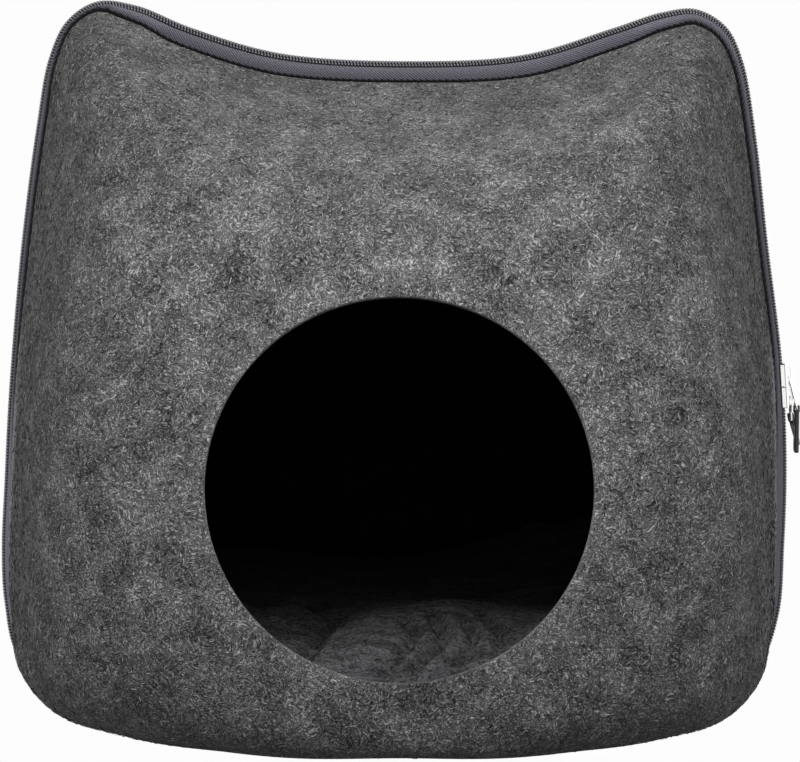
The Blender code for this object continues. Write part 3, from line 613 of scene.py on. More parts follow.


# Columns: name, ground, light fibres, dark fibres, lighter colour at the cut edge, cloudiness,
# strength of the relief.
FELT_MIXES = (
    ("felt_outer", grey(0.075), grey(0.21), grey(0.012), grey(0.38, (1.0, 0.98, 1.08)), 1.0, 0.6),
    # The inner face is the same felt painted near-black, as painted shade for the unlit inside.
    ("felt_inner_painted_shade", grey(0.004), grey(0.012), grey(0.002), grey(0.004), 0.5, 0.5),
)
heather, fray_highlight = heather_group(), fray_and_highlight_group()
felt_finishes = []
for name, base, light, dark, edge_fuzz_and_highlight, cloudiness, bump in FELT_MIXES:
    felt, tree, output = empty_material(name)
    fibres = node(tree, "ShaderNodeGroup", node_tree=heather)
    cloud = maths(tree, "MULTIPLY_ADD", fibres.outputs["Cloud"], cloudiness, 1.0)
    cloud = maths(tree, "MAXIMUM", cloud, DARKEST_CLOUD)
    lighter = times(tree, fibres.outputs["Light"], maths(tree, "POWER", cloud, LIGHT_IN_CLOUDS))
    colour = blended(tree, lighter, base, light)
    colour = blended(tree, fibres.outputs["Dark"], colour, dark)
    colour = shaded(tree, colour, cloud)
    # Lighter colour by the cut edge: partly real fraying, partly painted highlight.
    fuzz_and_highlight = node(tree, "ShaderNodeGroup", node_tree=fray_highlight).outputs["Fray_and_highlight"]
    colour = blended(tree, times(tree, fuzz_and_highlight, FUZZ_HIGHLIGHT_COVERS), colour, edge_fuzz_and_highlight)
    finish_with(tree, output, {
        "Base Color": colour, "Roughness": 1.0, "Specular IOR Level": 0.12,
        "Sheen Weight": felt_sheen(tree), "Sheen Roughness": 0.5,
        "Normal": relief(tree, fibres.outputs["Height"], strength=bump, distance=0.0006)})
    felt_finishes.append(felt)

samples = outline_samples(SHELL_STEP)
front_grid = shell_grid(samples, FRONT_SECTIONS, -1.0)
back_grid = closed_grid(shell_grid(samples, BACK_SECTIONS, 1.0), BACK_DEPTH)
shells = []
for name, grid, side, flat, area, cad_node in (
        ("felt_front", front_grid, -1.0, FRONT_FLAT, FRONT_AREA, "front_shell"),
        ("felt_back", back_grid, 1.0, BACK_FLAT, BACK_AREA, "back_shell")):
    shell = felt_shell(name, grid, side, felt_finishes)
    shells.append(shell)
    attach(shell, "root")
    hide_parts(cad_node)

# ---- The felt's surface fibres -----------------------------------------------------------------
# Needle punching leaves curled fibre ends lying on the felt's outer face. They are part of the
# felt: thin flat curls, mostly lighter than the ground.

FRONT_FIBRES, BACK_FIBRES = 260000.0, 215000.0
# Each fibre is turned at random about its length and across it, by at most so many radians, and
# has a random share of the full length and width.
FIBRE_ROLL, FIBRE_PITCH = 1.1, 0.2
FIBRE_LENGTHS, FIBRE_WIDTHS = (0.5, 1.25), (0.6, 1.2)
# Curls to the metre, and the share of each curl's height that is pressed flat.
FIBRE_CURLS, CURL_PRESSED = 420.0, 0.75
# From the darkest fibres to the lightest. Columns: place in the mix, level.
FIBRE_TINTS = ((0.0, 0.004), (0.42, 0.022), (0.72, 0.125), (1.0, 0.31))
GEOMETRY, WHOLE_NUMBER = "NodeSocketGeometry", "NodeSocketInt"


def geometry_group(name, inputs):
    """A Geometry Nodes tree with these named inputs after its geometry."""
    return node_group("GeometryNodeTree", name, (("Geometry", GEOMETRY, None), *inputs),
                      (("Geometry", GEOMETRY),))


def grown(name, mesh, tree, values, materials):
    """The plain mesh object that a Geometry Nodes tree makes from a mesh."""
    carrier = in_scene(name + "_carrier", mesh)
    modifier = carrier.modifiers.new("grow", "NODES")
    modifier.node_group = tree
    for item in tree.interface.items_tree:
        if item.item_type == "SOCKET" and item.in_out == "INPUT" and item.name in values:
            modifier[item.identifier] = values[item.name]
    graph = bpy.context.evaluated_depsgraph_get()
    made = bpy.data.meshes.new_from_object(carrier.evaluated_get(graph))
    bpy.data.objects.remove(carrier, do_unlink=True)
    made.materials.clear()
    for finish in materials:
        made.materials.append(finish)
    return in_scene(name, made)


def random_float(group, low, high, seed):
    """A random number for each point, from a fixed seed."""
    chosen = node(group, "FunctionNodeRandomValue", {2: low, 3: high, 8: seed}, data_type="FLOAT")
    return chosen.outputs[1]


def combined(group, x, y, z):
    """A vector from its three parts."""
    return node(group, "ShaderNodeCombineXYZ", {"X": x, "Y": y, "Z": z}).outputs[0]


def keep(group, geometry, name, value, data_type, domain):
    """The geometry with a named value stored on it."""
    return node(group, "GeometryNodeStoreNamedAttribute",
                {"Geometry": geometry, "Name": name, "Value": value}, data_type=data_type,
                domain=domain).outputs[0]


def kept_vector(group, name):
    """A vector that the geometry carries."""
    return node(group, "GeometryNodeInputNamedAttribute", {"Name": name},
                data_type="FLOAT_VECTOR").outputs["Attribute"]


def fibre_group(material):
    """Short curled ribbons scattered over the face marked outer, each with its own tint."""
    group, given, made = geometry_group("surface_fibres", (
        ("Fibres per square metre", FLOAT, 100000.0), ("Length", FLOAT, 0.0022),
        ("Width", FLOAT, 0.0003), ("Lift", FLOAT, 0.0002), ("Curl", FLOAT, 0.0012),
        ("Roll", FLOAT, FIBRE_ROLL), ("Seed", WHOLE_NUMBER, 1)))
    outer = node(group, "GeometryNodeInputNamedAttribute", {"Name": "outer"}, data_type="FLOAT")
    density = times(group, outer.outputs["Attribute"], given.outputs["Fibres per square metre"])
    spots = node(group, "GeometryNodeDistributePointsOnFaces",
                 {"Mesh": given.outputs["Geometry"], "Density": density,
                  "Seed": given.outputs["Seed"]})
    ribbon = node(group, "GeometryNodeMeshGrid",
                  {"Size X": given.outputs["Length"], "Size Y": given.outputs["Width"],
                   "Vertices X": 3, "Vertices Y": 2})
    roll = times(group, random_float(group, -1.0, 1.0, 15), given.outputs["Roll"])
    turn = combined(group, roll, random_float(group, -FIBRE_PITCH, FIBRE_PITCH, 16),
                    random_float(group, 0.0, 2.0 * math.pi, 11))
    turn = node(group, "FunctionNodeEulerToRotation", {0: turn})
    turned = node(group, "FunctionNodeRotateRotation",
                  {"Rotation": spots.outputs["Rotation"], "Rotate By": turn.outputs[0]},
                  rotation_space="LOCAL")
    scale = combined(group, random_float(group, *FIBRE_LENGTHS, 12),
                     random_float(group, *FIBRE_WIDTHS, 13), 1.0)
    upright = keep(group, spots.outputs["Points"], "up", spots.outputs["Normal"],
                   "FLOAT_VECTOR", "POINT")
    laid = node(group, "GeometryNodeInstanceOnPoints",
                {"Points": upright, "Instance": ribbon.outputs["Mesh"],
                 "Rotation": turned.outputs[0], "Scale": scale})
    tinted = keep(group, laid.outputs[0], "tint", random_float(group, 0.0, 1.0, 14),
                  "FLOAT", "INSTANCE")
    real = node(group, "GeometryNodeRealizeInstances", {"Geometry": tinted})
    # Each ribbon is bent by a noise, mostly along the felt, and lifted clear of it.
    wave = node(group, "ShaderNodeTexNoise", {"Scale": FIBRE_CURLS, "Detail": 0.0})
    wave = moved_by(group, wave, given.outputs["Curl"])
    up = kept_vector(group, "up")
    rise = node(group, "ShaderNodeVectorMath", {0: wave, 1: up}, operation="DOT_PRODUCT")
    rise = maths(group, "SUBTRACT", given.outputs["Lift"],
                 times(group, rise.outputs["Value"], CURL_PRESSED))
    lifted = node(group, "ShaderNodeVectorMath", {0: up, "Scale": rise}, operation="SCALE")
    bent = node(group, "GeometryNodeSetPosition",
                {"Geometry": real.outputs[0],
                 "Offset": vector_sum(group, wave, lifted.outputs[0])})
    last = node(group, "GeometryNodeSetMaterial", {"Geometry": bent.outputs[0],
                                                   "Material": material})
    group.links.new(last.outputs[0], made.inputs[0])
    return group


def tinted_ramp(tree, value, tints):
    """A grey that follows a value through a table of places and levels."""
    ramp = node(tree, "ShaderNodeValToRGB", {"Fac": value})
    while len(ramp.color_ramp.elements) < len(tints):
        ramp.color_ramp.elements.new(0.5)
    for element, (place, level) in zip(ramp.color_ramp.elements, tints):
        element.position = place
        element.color = grey(level)
    return ramp.outputs["Color"]


felt_fibre, tree, output = empty_material("felt_fibre")
# Fibres by the cut edge are lightened: partly real fraying, partly painted highlight.
fuzz_and_highlight = node(tree, "ShaderNodeGroup", node_tree=fray_highlight).outputs["Fray_and_highlight"]
tint = maths(tree, "ADD", fuzz_and_highlight, stored(tree, "tint"))
finish_with(tree, output, {
    "Base Color": tinted_ramp(tree, tint, FIBRE_TINTS), "Roughness": 0.9,
    "Specular IOR Level": 0.15, "Sheen Weight": felt_sheen(tree), "Sheen Roughness": 0.5})

fibres_tree = fibre_group(felt_fibre)
for name, shell, seed, per_m2 in (("felt_fibres_front", shells[0], 5, FRONT_FIBRES),
                                  ("felt_fibres_back", shells[1], 6, BACK_FIBRES)):
    fibres = grown(name, shell.data.copy(), fibres_tree,
                   {"Fibres per square metre": per_m2, "Seed": seed}, (felt_fibre,))
    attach(fibres, "root")
back_felt = [shells[1], fibres]

# ---- The zip's tapes ---------------------------------------------------------------------------
# Each half of the zip hangs on a woven twill tape, 0.8 mm thick. It lies against the coil on the
# ridge and is sewn under the felt's edge.

TAPE, TAPE_SLIT, TAPE_DROP, TAPE_HEM, CLEARANCE, TAPE_ENDS_AT_GAP = 0.8, 1.2, 2.9, 5.0, 0.5, 3.5
TAPE_SEWN, TAPE_BESIDE, TAPE_STEPS, TAPE_SHARP_ANGLE = 3.35, 3.65, 9, 50.0
# Beside the coil the tape rises to this far under the ridge: columns are felt_in and the depth.
TAPE_RISE = ((5.5, 8.5), (1.8, 2.9))
# Next to the felt's edge the tape's colour is painted dark, as painted shadow, over this width:
# columns are the height and the width there, and then felt_in and the share of that width. Beyond
# that width its painted light comes to full so many times sooner: columns are felt_in and the
# number.
PAINTED_SHADOW_WIDTH, PAINTED_SHADOW_SHARE = ((100.0, 190.0), (0.5, 2.4)), ((6.0, 9.0), (1.0, 0.52))
PAINTED_LIGHT_SOONER = ((6.0, 9.0), (9.0, 1.0))
PAINTED_LIGHT_LIMITS = (-1.0, 9.0)
TAPE_THREADS = (0.045, 0.044, 0.055, 1.0), (0.145, 0.141, 0.167, 1.0)
# The painted shadow's colour, put on the tape next to the felt's edge.
TAPE_IN_SHADOW = (0.002, 0.002, 0.0025, 1.0)
# The weave is its ribs and picks over a base level, and the painted light's edge wavers with the
# twill.
# Ribs and wavers: waves per metre, distortion and its scale.
RIBS, RIB_STRENGTH = (420.0, 0.6, 1.5), 1.1
PICKS, PICK_STRENGTH, WEAVE_BASE = 1500.0, 1.7, -0.9
WAVERS, WAVER_STRENGTH = (210.0, 1.2, 2.0), 0.45
# By the painted light level: where the tape leaves its painted shadow, and where its painted
# brightness rises and how far.
LEAVES_SHADOW, PAINTED_LIGHT_RISES, PAINTED_LIGHT_LEVELS = (0.45, 1.2), (0.5, 7.0), (0.58, 1.28)


def in_zip_plane(x, z):
    """Points or vectors in the plane of the zip."""
    return np.stack([x, np.zeros(len(x)), z], axis=1)


def zip_tape(name, rows, grid, side, finish):
    """A thin closed strip from under the chain to under the felt's edge, with a UV in metres.

    Its attribute is the painted light: 0, painted shadow, at the felt's edge, growing towards full
    painted light.
    """
    kept = rows[:, 3] >= TAPE_ENDS_AT_GAP
    # The kept lines follow on each other from the left end of the zip to the right.
    normals = grid_normals(grid, side)[kept, 0]
    rows, lines = rows[kept], grid[kept]
    ridge, inward = in_zip_plane(rows[:, 0], rows[:, 1]), in_zip_plane(rows[:, 4], rows[:, 5])
    slit = ridge + TAPE_DROP * inward + (0.0, side * TAPE_SLIT, 0.0)
    sewn = ridge + TAPE_DROP * inward + (0.0, side * TAPE_SEWN, 0.0)
    rise = np.interp(rows[:, 2], *TAPE_RISE)[:, None]
    beside = ridge + rise * inward + (0.0, side * TAPE_BESIDE, 0.0)
    edge = lines[:, 0] - (FELT + CLEARANCE) * normals
    hem = unit(lines[:, 1] - lines[:, 0]) * TAPE_HEM
    rungs = [beside + (edge - beside) * step / TAPE_STEPS for step in range(1, TAPE_STEPS)]
    top = np.stack([slit, sewn, beside, *rungs, edge, edge + hem], axis=1)
    faces_up = unit(np.cross(np.gradient(top, axis=0), np.gradient(top, axis=1)) * side)
    loops = np.concatenate([top, (top - TAPE * faces_up)[:, ::-1]], axis=1)
    count = loops.shape[1]
    faces = ring_faces(len(loops), count, False, True, side < 0)
    first = tuple(range(count))
    last = tuple(range(len(loops) * count - count, len(loops) * count))
    faces += [first[::-1], last] if side > 0 else [first, last[::-1]]
    tape = piece_from(name, loops.reshape(-1, 3), faces, (finish,))
    tape.data.set_sharp_from_angle(angle=math.radians(TAPE_SHARP_ANGLE))

    lengths = np.concatenate([[0.0], np.cumsum(np.linalg.norm(np.diff(slit, axis=0), axis=1))])
    widths = np.cumsum(np.linalg.norm(np.diff(top, axis=1), axis=2), axis=1)
    widths = np.concatenate([np.zeros((len(top), 1)), widths], axis=1)
    # The painted shadow's width by the felt's edge, and the painted light's level beyond it.
    turned = np.interp(rows[:, 1], *PAINTED_SHADOW_WIDTH) * np.interp(rows[:, 2], *PAINTED_SHADOW_SHARE)
    depths = ((top - ridge[:, None]) * inward[:, None]).sum(axis=2)
    painted_levels = (rows[:, 2:3] - depths) / turned[:, None]
    beyond = np.maximum(painted_levels - 1.0, 0.0)
    painted_levels += beyond * (np.interp(rows[:, 2:3], *PAINTED_LIGHT_SOONER) - 1.0)
    widths, painted_levels = (np.hstack([table, table[:, ::-1]]) for table in (widths, painted_levels))
    store(tape.data, "painted_light", np.clip(painted_levels, *PAINTED_LIGHT_LIMITS))
    layer = tape.data.uv_layers.new(name="weave")
    for loop in tape.data.loops:
        line, rung = divmod(loop.vertex_index, count)
        layer.data[loop.index].uv = (lengths[line] * MM, side * widths[line, rung] * MM)
    return tape


def twill(tree, place, scale, distortion, detail_scale):
    """Slanting ribs with so many waves per metre."""
    return node(tree, "ShaderNodeTexWave",
                {"Vector": place, "Scale": scale, "Distortion": distortion,
                 "Detail Scale": detail_scale}, wave_type="BANDS", bands_direction="DIAGONAL",
                wave_profile="SIN").outputs["Fac"]


tape_cloth, tree, output = empty_material("tape_cloth")
place = node(tree, "ShaderNodeUVMap", uv_map="weave").outputs[0]
weave = maths(tree, "MULTIPLY_ADD", twill(tree, place, *RIBS), RIB_STRENGTH, WEAVE_BASE)
weave = maths(tree, "MULTIPLY_ADD", noise(tree, place, PICKS, detail=1.0), PICK_STRENGTH, weave)
wavers = centred(tree, twill(tree, place, *WAVERS), WAVER_STRENGTH)
# The tape's colour carries painted light: near-black painted shadow by the felt's edge, brighter
# further out.
lit = maths(tree, "ADD", stored(tree, "painted_light"), wavers)
colour = blended(tree, weave, *TAPE_THREADS)
colour = shaded(tree, colour, ranged(tree, lit, *PAINTED_LIGHT_RISES, *PAINTED_LIGHT_LEVELS))
colour = blended(tree, ranged(tree, lit, *LEAVES_SHADOW), TAPE_IN_SHADOW, colour)
finish_with(tree, output, {
    "Base Color": colour, "Roughness": 0.85, "Specular IOR Level": 0.08,
    "Normal": relief(tree, weave, strength=0.5, distance=0.0003)})

zip_cloth = []
for name, grid, side, cad_node, felt in (
        ("zip_tape_cloth_front", front_grid, -1.0, "zip_tape_front", "felt_front"),
        ("zip_tape_cloth_back", back_grid, 1.0, "zip_tape_back", "felt_back")):
    tape = zip_tape(name, samples, grid, side, tape_cloth)
    zip_cloth.append(tape)
    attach(tape, "root")
    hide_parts(cad_node)

# ---- The zip's coils ---------------------------------------------------------------------------
# Two nylon coils hook into each other along the ridge, a turn every 1.5 mm on either side, sewn
# to the tapes over a filler cord. Inside the sliders there is nothing to see of them.

COIL_PITCH, COIL_STAGGER, COIL_SUNK, CHAIN_ENDS_AT_GAP = 1.5, 0.87, 0.35, 6.5
# The sliders take up the right-hand side between these heights.
SLIDERS_FROM, SLIDERS_TO = 145.2, 151.5
# The wire's arch, in metres from the ridge: the heights of its foot, its two bends and its hook.
FOOT_Z, FOOT_BEND_Z, HOOK_BEND_Z, HOOK_Z = -0.0018, -0.0002, 0.0012, -0.0009
# The wire's lightness from its sewn foot over to its hook: painted shade darkens the foot and the
# hook's end, and a dark band at the stitch line stands for the sewing thread and its painted
# shade.
WIRE_THREAD_AND_SHADE = ((0.0, 0.1), (0.04, 0.75), (0.11, 0.75), (0.16, 0.22), (0.21, 0.22), (0.27, 0.9),
              (0.65, 1.0), (0.85, 0.3))
NYLON_MOTTLE = (0.11, 0.11, 0.122, 1.0), (0.24, 0.24, 0.262, 1.0)
# The filler cord is near-black as painted shade: it stands for the shadow in the gap under the
# coil.
CORD_SHADE_MOTTLE = (0.004, 0.004, 0.005, 1.0), (0.02, 0.02, 0.024, 1.0)
# The filler cord's section. Columns: beside the ridge, below it.
FILLER_SECTION = ((-2.7, 1.5), (-1.3, 1.05), (0.0, 0.95), (1.3, 1.05), (2.7, 1.5), (2.7, 3.1),
                  (-2.7, 3.1))


def ridge_points():
    """Evenly spaced points on the ridge, clear of the base, with the way in from each."""
    fine = outline_samples(COIL_PITCH)
    zipped = fine[fine[:, 3] >= CHAIN_ENDS_AT_GAP]
    steps = np.linalg.norm(np.diff(zipped[:, :2], axis=0), axis=1)
    places = np.concatenate([[0.0], np.cumsum(steps)])
    even = np.arange(COIL_PITCH, places[-1], COIL_PITCH)
    x, z, in_x, in_z = (np.interp(even, places, zipped[:, column]) for column in (0, 1, 4, 5))
    size = np.hypot(in_x, in_z)
    return np.stack([x, z, in_x / size, in_z / size], axis=1)


def coil_group(material):
    """One wire arch of the coil on each point, standing along the attributes out and along."""
    group, given, made = geometry_group("zip_coil", (
        ("Half width", FLOAT, 0.0028), ("Reach over", FLOAT, 0.0009), ("Wire", FLOAT, 0.00046),
        ("Slant", FLOAT, 0.00075)))
    half, reach = given.outputs["Half width"], given.outputs["Reach over"]
    slant = given.outputs["Slant"]
    arch = node(group, "GeometryNodeCurvePrimitiveBezierSegment", {
        "Resolution": 8, "Start": combined(group, times(group, slant, -0.5), half, FOOT_Z),
        "Start Handle": combined(group, 0.0, times(group, half, 1.2), FOOT_BEND_Z),
        "End Handle": combined(group, slant, times(group, reach, 0.7), HOOK_BEND_Z),
        "End": combined(group, slant, times(group, reach, -1.0), HOOK_Z)}, mode="POSITION")
    along_wire = node(group, "GeometryNodeSplineParameter").outputs["Factor"]
    arch = keep(group, arch.outputs[0], "along_wire", along_wire, "FLOAT", "POINT")
    ring = node(group, "GeometryNodeCurvePrimitiveCircle",
                {"Resolution": 5, "Radius": given.outputs["Wire"]}, mode="RADIUS")
    tube = node(group, "GeometryNodeCurveToMesh",
                {"Curve": arch, "Profile Curve": ring.outputs[0], "Fill Caps": True})
    standing = node(group, "FunctionNodeAxesToRotation",
                    {"Primary Axis": kept_vector(group, "out"),
                     "Secondary Axis": kept_vector(group, "along")},
                    primary_axis="Z", secondary_axis="X")
    teeth = node(group, "GeometryNodeInstanceOnPoints",
                 {"Points": given.outputs["Geometry"], "Instance": tube.outputs[0],
                  "Rotation": standing.outputs[0]})
    real = node(group, "GeometryNodeRealizeInstances", {"Geometry": teeth.outputs[0]})
    smooth = node(group, "GeometryNodeSetShadeSmooth", {"Geometry": real.outputs[0]})
    last = node(group, "GeometryNodeSetMaterial", {"Geometry": smooth.outputs[0],
                                                   "Material": material})
    group.links.new(last.outputs[0], made.inputs[0])
    return group


def coil_side(name, rows, side, tree, finishes):
    """The turns of one of the two coils along a stretch of the ridge."""
    outs = in_zip_plane(-rows[:, 2], -rows[:, 3])
    alongs = in_zip_plane(-rows[:, 3], rows[:, 2])
    seats = in_zip_plane(rows[:, 0], rows[:, 1]) - COIL_SUNK * outs
    if side > 0:
        seats += COIL_STAGGER * alongs
    points = mesh_from("coil_seats", seats)
    store(points, "out", outs, "FLOAT_VECTOR")
    store(points, "along", alongs * side, "FLOAT_VECTOR")
    return grown(name + "_side", points, tree, {}, finishes)


def filler_cord(name, rows, finishes):
    """The cord under both coils along a stretch of the ridge, in the second finish."""
    outs, spine = in_zip_plane(-rows[:, 2], -rows[:, 3]), in_zip_plane(rows[:, 0], rows[:, 1])
    section = np.array(FILLER_SECTION)
    loops = (spine[:, None] - section[None, :, 1:] * outs[:, None]
             + section[None, :, :1] * np.array([0.0, 1.0, 0.0]))
    count = len(section)
    faces = ring_faces(len(rows), count, False, True, False)
    faces += [tuple(range(count))[::-1], tuple(range((len(rows) - 1) * count, len(rows) * count))]
    cord = piece_from(name + "_cord", loops.reshape(-1, 3), faces, finishes)
    for polygon in cord.data.polygons:
        polygon.material_index = 1
    return cord


nylon, tree, output = empty_material("coil_nylon")
colour = blended(tree, noise(tree, object_place(tree), 900.0, detail=1.0), *NYLON_MOTTLE)
# The wire's colour darkened as painted shade at its ends and in a band that also stands for the
# thread.
thread_and_shade = tinted_ramp(tree, stored(tree, "along_wire"), WIRE_THREAD_AND_SHADE)
finish_with(tree, output, {"Base Color": blended(tree, 1.0, colour, thread_and_shade, "MULTIPLY"),
                           "Roughness": 0.5, "Specular IOR Level": 0.4})
# The cord's near-black colour is painted shade for the gap under the coil.
cord_painted_shade, tree, output = empty_material("filler_cord")
colour = blended(tree, noise(tree, object_place(tree), 1200.0, detail=1.0), *CORD_SHADE_MOTTLE)
finish_with(tree, output, {"Base Color": colour, "Roughness": 0.9, "Specular IOR Level": 0.2})

coil_finishes = (nylon, cord_painted_shade)
coil_tree = coil_group(nylon)
ridge = ridge_points()
right = ridge[:, 0] > 0.0
# The cord runs on through the sliders to the other one's end.
between = (SLIDERS_FROM + SLIDERS_TO) / 2.0
for name, coiled, corded, cad_node in (
        ("zip_coil_upper", ~right | (ridge[:, 1] > SLIDERS_TO),
         ~right | (ridge[:, 1] > between), "zip_chain_upper"),
        ("zip_coil_lower", right & (ridge[:, 1] < SLIDERS_FROM),
         right & (ridge[:, 1] < between + COIL_PITCH), "zip_chain_lower")):
    parts = [coil_side(name, ridge[coiled], side, coil_tree, coil_finishes)
             for side in (-1.0, 1.0)]
    parts.append(filler_cord(name, ridge[corded], coil_finishes))
    shape = bmesh.new()
    for part in parts:
        shape.from_mesh(part.data)
        bpy.data.objects.remove(part, do_unlink=True)
    mesh = bpy.data.meshes.new(name)
    shape.to_mesh(mesh)
    shape.free()
    for finish in coil_finishes:
        mesh.materials.append(finish)
    coil = in_scene(name, mesh)
    zip_cloth.append(coil)
    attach(coil, "root")
    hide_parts(cad_node)

# ---- The sliders and their pulls ---------------------------------------------------------------
# Two die-cast sliders, nickel plated, stand head to head on the right-hand side. Each has a wire
# link in its bridge, plated as well, and a black coated tab that hangs from it.

# Columns: name, its metallic share, marks per metre, the clean and the scuffed colour, the
# roughness where it is glossy and where it is dull, and the CAD pieces.
METAL_FINISHES = (
    ("nickel_plate", 1.0, 1400.0, (0.93, 0.925, 0.91, 1.0), (0.72, 0.71, 0.69, 1.0), (0.1, 0.26),
     ("slider_upper", "slider_lower", "pull_link_upper", "pull_link_lower")),
    ("tab_coating", 0.0, 700.0, (0.008, 0.008, 0.009, 1.0), (0.03, 0.03, 0.032, 1.0), (0.3, 0.55),
     ("pull_tab_upper", "pull_tab_lower")),
)
# Values of the marks between which a scuff shows, and of the gloss between its two roughnesses.
SCUFF_SHOWS, GLOSS_CLOUDS, GLOSS_SPREAD = (0.55, 0.7), 220.0, (0.3, 0.7)


def rubbed_group():
    """Fine handling marks: a mask of scuffs and a cloudy change of gloss."""
    group, given, made = node_group("ShaderNodeTree", "rubbed",
                                    (("Marks per metre", FLOAT, 900.0),),
                                    (("Scuff", FLOAT), ("Gloss", FLOAT)))
    place = object_place(group)
    marks = noise(group, place, given.outputs["Marks per metre"], detail=3.0)
    group.links.new(ranged(group, marks, *SCUFF_SHOWS), made.inputs["Scuff"])
    group.links.new(noise(group, place, GLOSS_CLOUDS, detail=1.0), made.inputs["Gloss"])
    return group


rubbed = rubbed_group()
for name, metallic, marks, clean, scuffed, roughness, cad_nodes in METAL_FINISHES:
    finish, tree, output = empty_material(name)
    wear = node(tree, "ShaderNodeGroup", {"Marks per metre": marks}, node_tree=rubbed)
    finish_with(tree, output, {
        "Base Color": blended(tree, wear.outputs["Scuff"], clean, scuffed), "Metallic": metallic,
        "Roughness": ranged(tree, wear.outputs["Gloss"], *GLOSS_SPREAD, *roughness)})
    for cad_node in cad_nodes:
        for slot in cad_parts[cad_node].material_slots:
            slot.material = finish

# ---- The cushion -------------------------------------------------------------------------------
# A loosely filled pad in dark grey short-pile plush, pushed into the cave so that its edge rides
# up the walls and its cover lies in soft folds.

VOXEL, SHRINK = 5.0, 1.5
CLOTH_FRAMES, CLOTH_PRESSURE, CLOTH_CAP = 20, 4.0, 4.0
# Where the filling swells the top. Columns: x, y, reach in x, reach in y, height.
SWELLS = ((-13.0, -86.0, 20.0, 34.0, 1.8), (24.0, -66.0, 22.0, 30.0, 5.5),
          (-66.0, -72.0, 16.0, 30.0, 3.0), (40.0, -108.0, 9.0, 24.0, 2.0),
          (66.0, -20.0, 34.0, 34.0, -1.0))
# Creases pressed into the top near the entrance. Columns: points of its line, half width, depth.
CREASES = (
    (((-50.0, -34.0), (-29.0, -48.0), (-34.0, -78.0), (-38.0, -104.0), (-45.0, -130.0)), 4.2, 6.5),
    (((2.0, -74.0), (7.0, -94.0), (3.0, -116.0), (-8.0, -138.0)), 2.8, 5.0),
    (((15.0, -72.0), (20.0, -94.0), (15.0, -117.0), (2.0, -139.0)), 2.8, 8.0),
    (((30.0, -78.0), (34.0, -100.0), (28.0, -122.0), (15.0, -140.0)), 3.0, 8.0),
    (((34.0, -24.0), (48.0, 0.0), (64.0, 8.0), (82.0, 0.0)), 5.0, 2.5),
    (((44.0, -116.0), (46.0, -92.0), (38.0, -64.0)), 3.2, 4.5),
    (((-70.0, -86.0), (-62.0, -60.0), (-66.0, -36.0)), 5.0, 3.0),
)
# The plush is a fine nap over broad streaks, both drawn out along X: each per metre and its share.
PLUSH_TONES, TONE_SPREAD = ((0.006, 0.006, 0.0066, 1.0), (0.034, 0.034, 0.036, 1.0)), (0.35, 0.65)
NAP, NAP_SHARE, STREAKS, STREAK_SHARE, DRAWN_OUT = 900.0, 0.45, 150.0, 0.55, (0.3, 1.0, 1.0)


def work_in(piece):
    """Turn a piece's modifiers into its plain mesh."""
    graph = bpy.context.evaluated_depsgraph_get()
    piece.data = bpy.data.meshes.new_from_object(piece.evaluated_get(graph))
    piece.modifiers.clear()


def at_points(mesh, field):
    """A mesh's places (co) or normals (normal) as an array."""
    found = np.empty(len(mesh.vertices) * 3, np.float32)
    mesh.vertices.foreach_get(field, found)
    return found.reshape(-1, 3).astype(float)


def move_points(mesh, places):
    """Put a mesh's points at these places in metres."""
    mesh.vertices.foreach_set("co", places.astype(np.float32).ravel())


shape = bmesh.new()
shape.from_mesh(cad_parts["cushion"].data)
bmesh.ops.remove_doubles(shape, verts=shape.verts, dist=1e-6)
shape.normal_update()
for vertex in shape.verts:
    vertex.co -= vertex.normal * SHRINK * MM
mesh = bpy.data.meshes.new("plush_pad")
shape.to_mesh(mesh)
shape.free()
mesh.materials.clear()
pad = in_scene("plush_pad", mesh)
remesh = pad.modifiers.new("even", "REMESH")
remesh.mode = "VOXEL"
remesh.voxel_size = VOXEL * MM
work_in(pad)

before = at_points(pad.data, "co")
cloth = pad.modifiers.new("filling", "CLOTH")
cloth.settings.use_pressure = True
cloth.settings.uniform_pressure_force = CLOTH_PRESSURE
cloth.settings.effector_weights.gravity = 0.0
scene = bpy.context.scene
scene.frame_start, scene.frame_end = 1, CLOTH_FRAMES
for frame_number in range(1, CLOTH_FRAMES + 1):
    scene.frame_set(frame_number)
graph = bpy.context.evaluated_depsgraph_get()
moved = at_points(pad.evaluated_get(graph).data, "co") - before
pad.modifiers.clear()
length = np.linalg.norm(moved, axis=1)
moved *= np.minimum(1.0, CLOTH_CAP * MM / np.maximum(length, 1e-9))[:, None]
move_points(pad.data, before + moved)
scene.frame_set(1)
finer = pad.modifiers.new("finer", "SUBSURF")
finer.levels = finer.render_levels = 1
work_in(pad)

points = at_points(pad.data, "co") / MM
low, high = (np.array(corner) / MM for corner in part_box("cushion"))
# Swells and creases are full on the top, and fade where the cover turns down to the sides.
upward = np.clip(at_points(pad.data, "normal")[:, 2] * 2.0, 0.0, 1.0)
for x, y, reach_x, reach_y, height in SWELLS:
    away = ((points[:, 0] - x) / reach_x) ** 2 + ((points[:, 1] - y) / reach_y) ** 2
    points[:, 2] += height * np.exp(-away) * upward
for line, half_width, depth in CREASES:
    nearest = np.full(len(points), np.inf)
    for start, end in zip(np.array(line), np.array(line[1:])):
        along = end - start
        share = np.clip((points[:, :2] - start) @ along / (along @ along), 0.0, 1.0)
        apart = np.linalg.norm(points[:, :2] - start - share[:, None] * along, axis=1)
        nearest = np.minimum(nearest, apart)
    points[:, 2] -= depth * np.exp(-((nearest / half_width) ** 2)) * upward
move_points(pad.data, np.clip(points, low, high) * MM)
pad.data.update()
pad.data.shade_smooth()

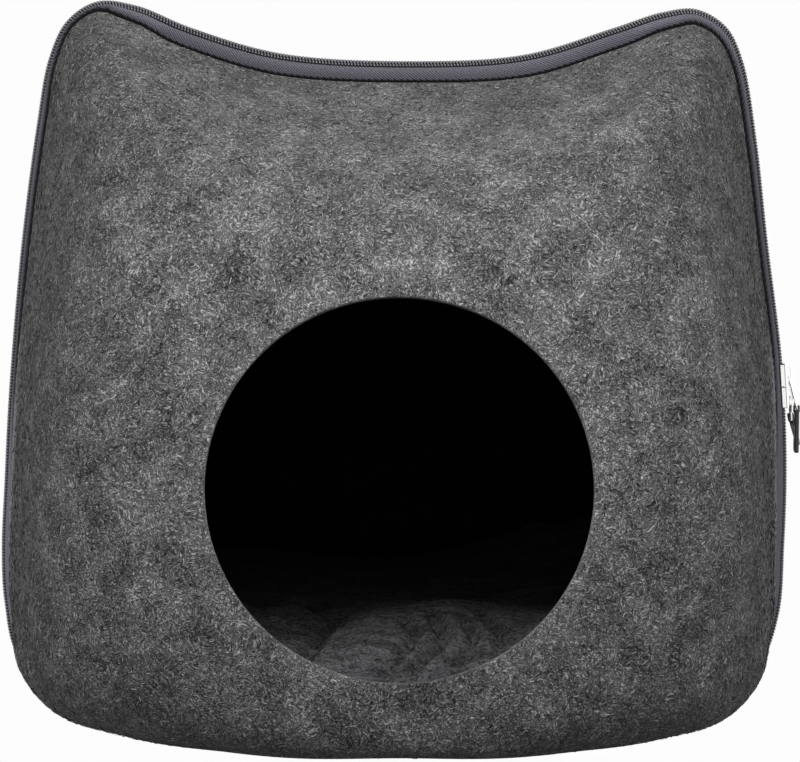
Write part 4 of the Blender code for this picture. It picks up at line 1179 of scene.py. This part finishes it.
plush, tree, output = empty_material("plush_cover")
place = node(tree, "ShaderNodeMapping", {"Vector": object_place(tree),
                                         "Scale": DRAWN_OUT}).outputs[0]
tone = maths(tree, "MULTIPLY_ADD", noise(tree, place, NAP, detail=1.0), NAP_SHARE,
             times(tree, noise(tree, place, STREAKS, detail=2.0), STREAK_SHARE))
finish_with(tree, output, {
    "Base Color": blended(tree, ranged(tree, tone, *TONE_SPREAD), *PLUSH_TONES),
    "Roughness": 1.0, "Specular IOR Level": 0.05, "Sheen Weight": 0.03, "Sheen Roughness": 0.6,
    "Normal": relief(tree, tone, strength=0.8, distance=0.001)})
pad.data.materials.clear()
pad.data.materials.append(plush)
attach(pad, "root")
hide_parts("cushion")

# ---- The cushion's pile ------------------------------------------------------------------------
# Short tufts lie brushed every way over the plush cover. They are part of its cloth, and are made
# on its top alone, as the rest is out of sight.

PILE_TUFTS, PILE_FACES_UP = 550000.0, 0.6
PILE_TINTS = ((0.0, 0.004), (0.4, 0.012), (0.8, 0.027), (1.0, 0.044))

tuft, tree, output = empty_material("plush_pile")
finish_with(tree, output, {"Base Color": tinted_ramp(tree, stored(tree, "tint"), PILE_TINTS),
                           "Roughness": 1.0, "Specular IOR Level": 0.1})
napped = pad.data.copy()
store(napped, "outer", at_points(pad.data, "normal")[:, 2] > PILE_FACES_UP)
pile = grown("plush_pile", napped, fibre_group(tuft),
             {"Fibres per square metre": PILE_TUFTS, "Seed": 8, "Length": 0.0022,
              "Width": 0.00028, "Lift": 0.0004, "Curl": 0.0010}, (tuft,))
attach(pile, "root")

# ---- What each softbox lights ------------------------------------------------------------------
# The lights in front pass the dark inside by, the one above the entrance is for the cushion
# alone, and the two smaller ones on either side are for the zip alone.

inside = [pad, pile]
for name, state, members in (
        ("forehead", "EXCLUDE", inside + back_felt), ("left", "EXCLUDE", inside),
        ("right", "EXCLUDE", inside), ("entrance", "INCLUDE", inside),
        ("zip_left", "INCLUDE", zip_cloth), ("zip_right", "INCLUDE", zip_cloth)):
    lit = bpy.data.collections.new("lit_by_" + name)
    for piece in members:
        lit.objects.link(piece)
    softboxes[name].light_linking.receiver_collection = lit
    for member in lit.collection_objects:
        member.light_linking.link_state = state
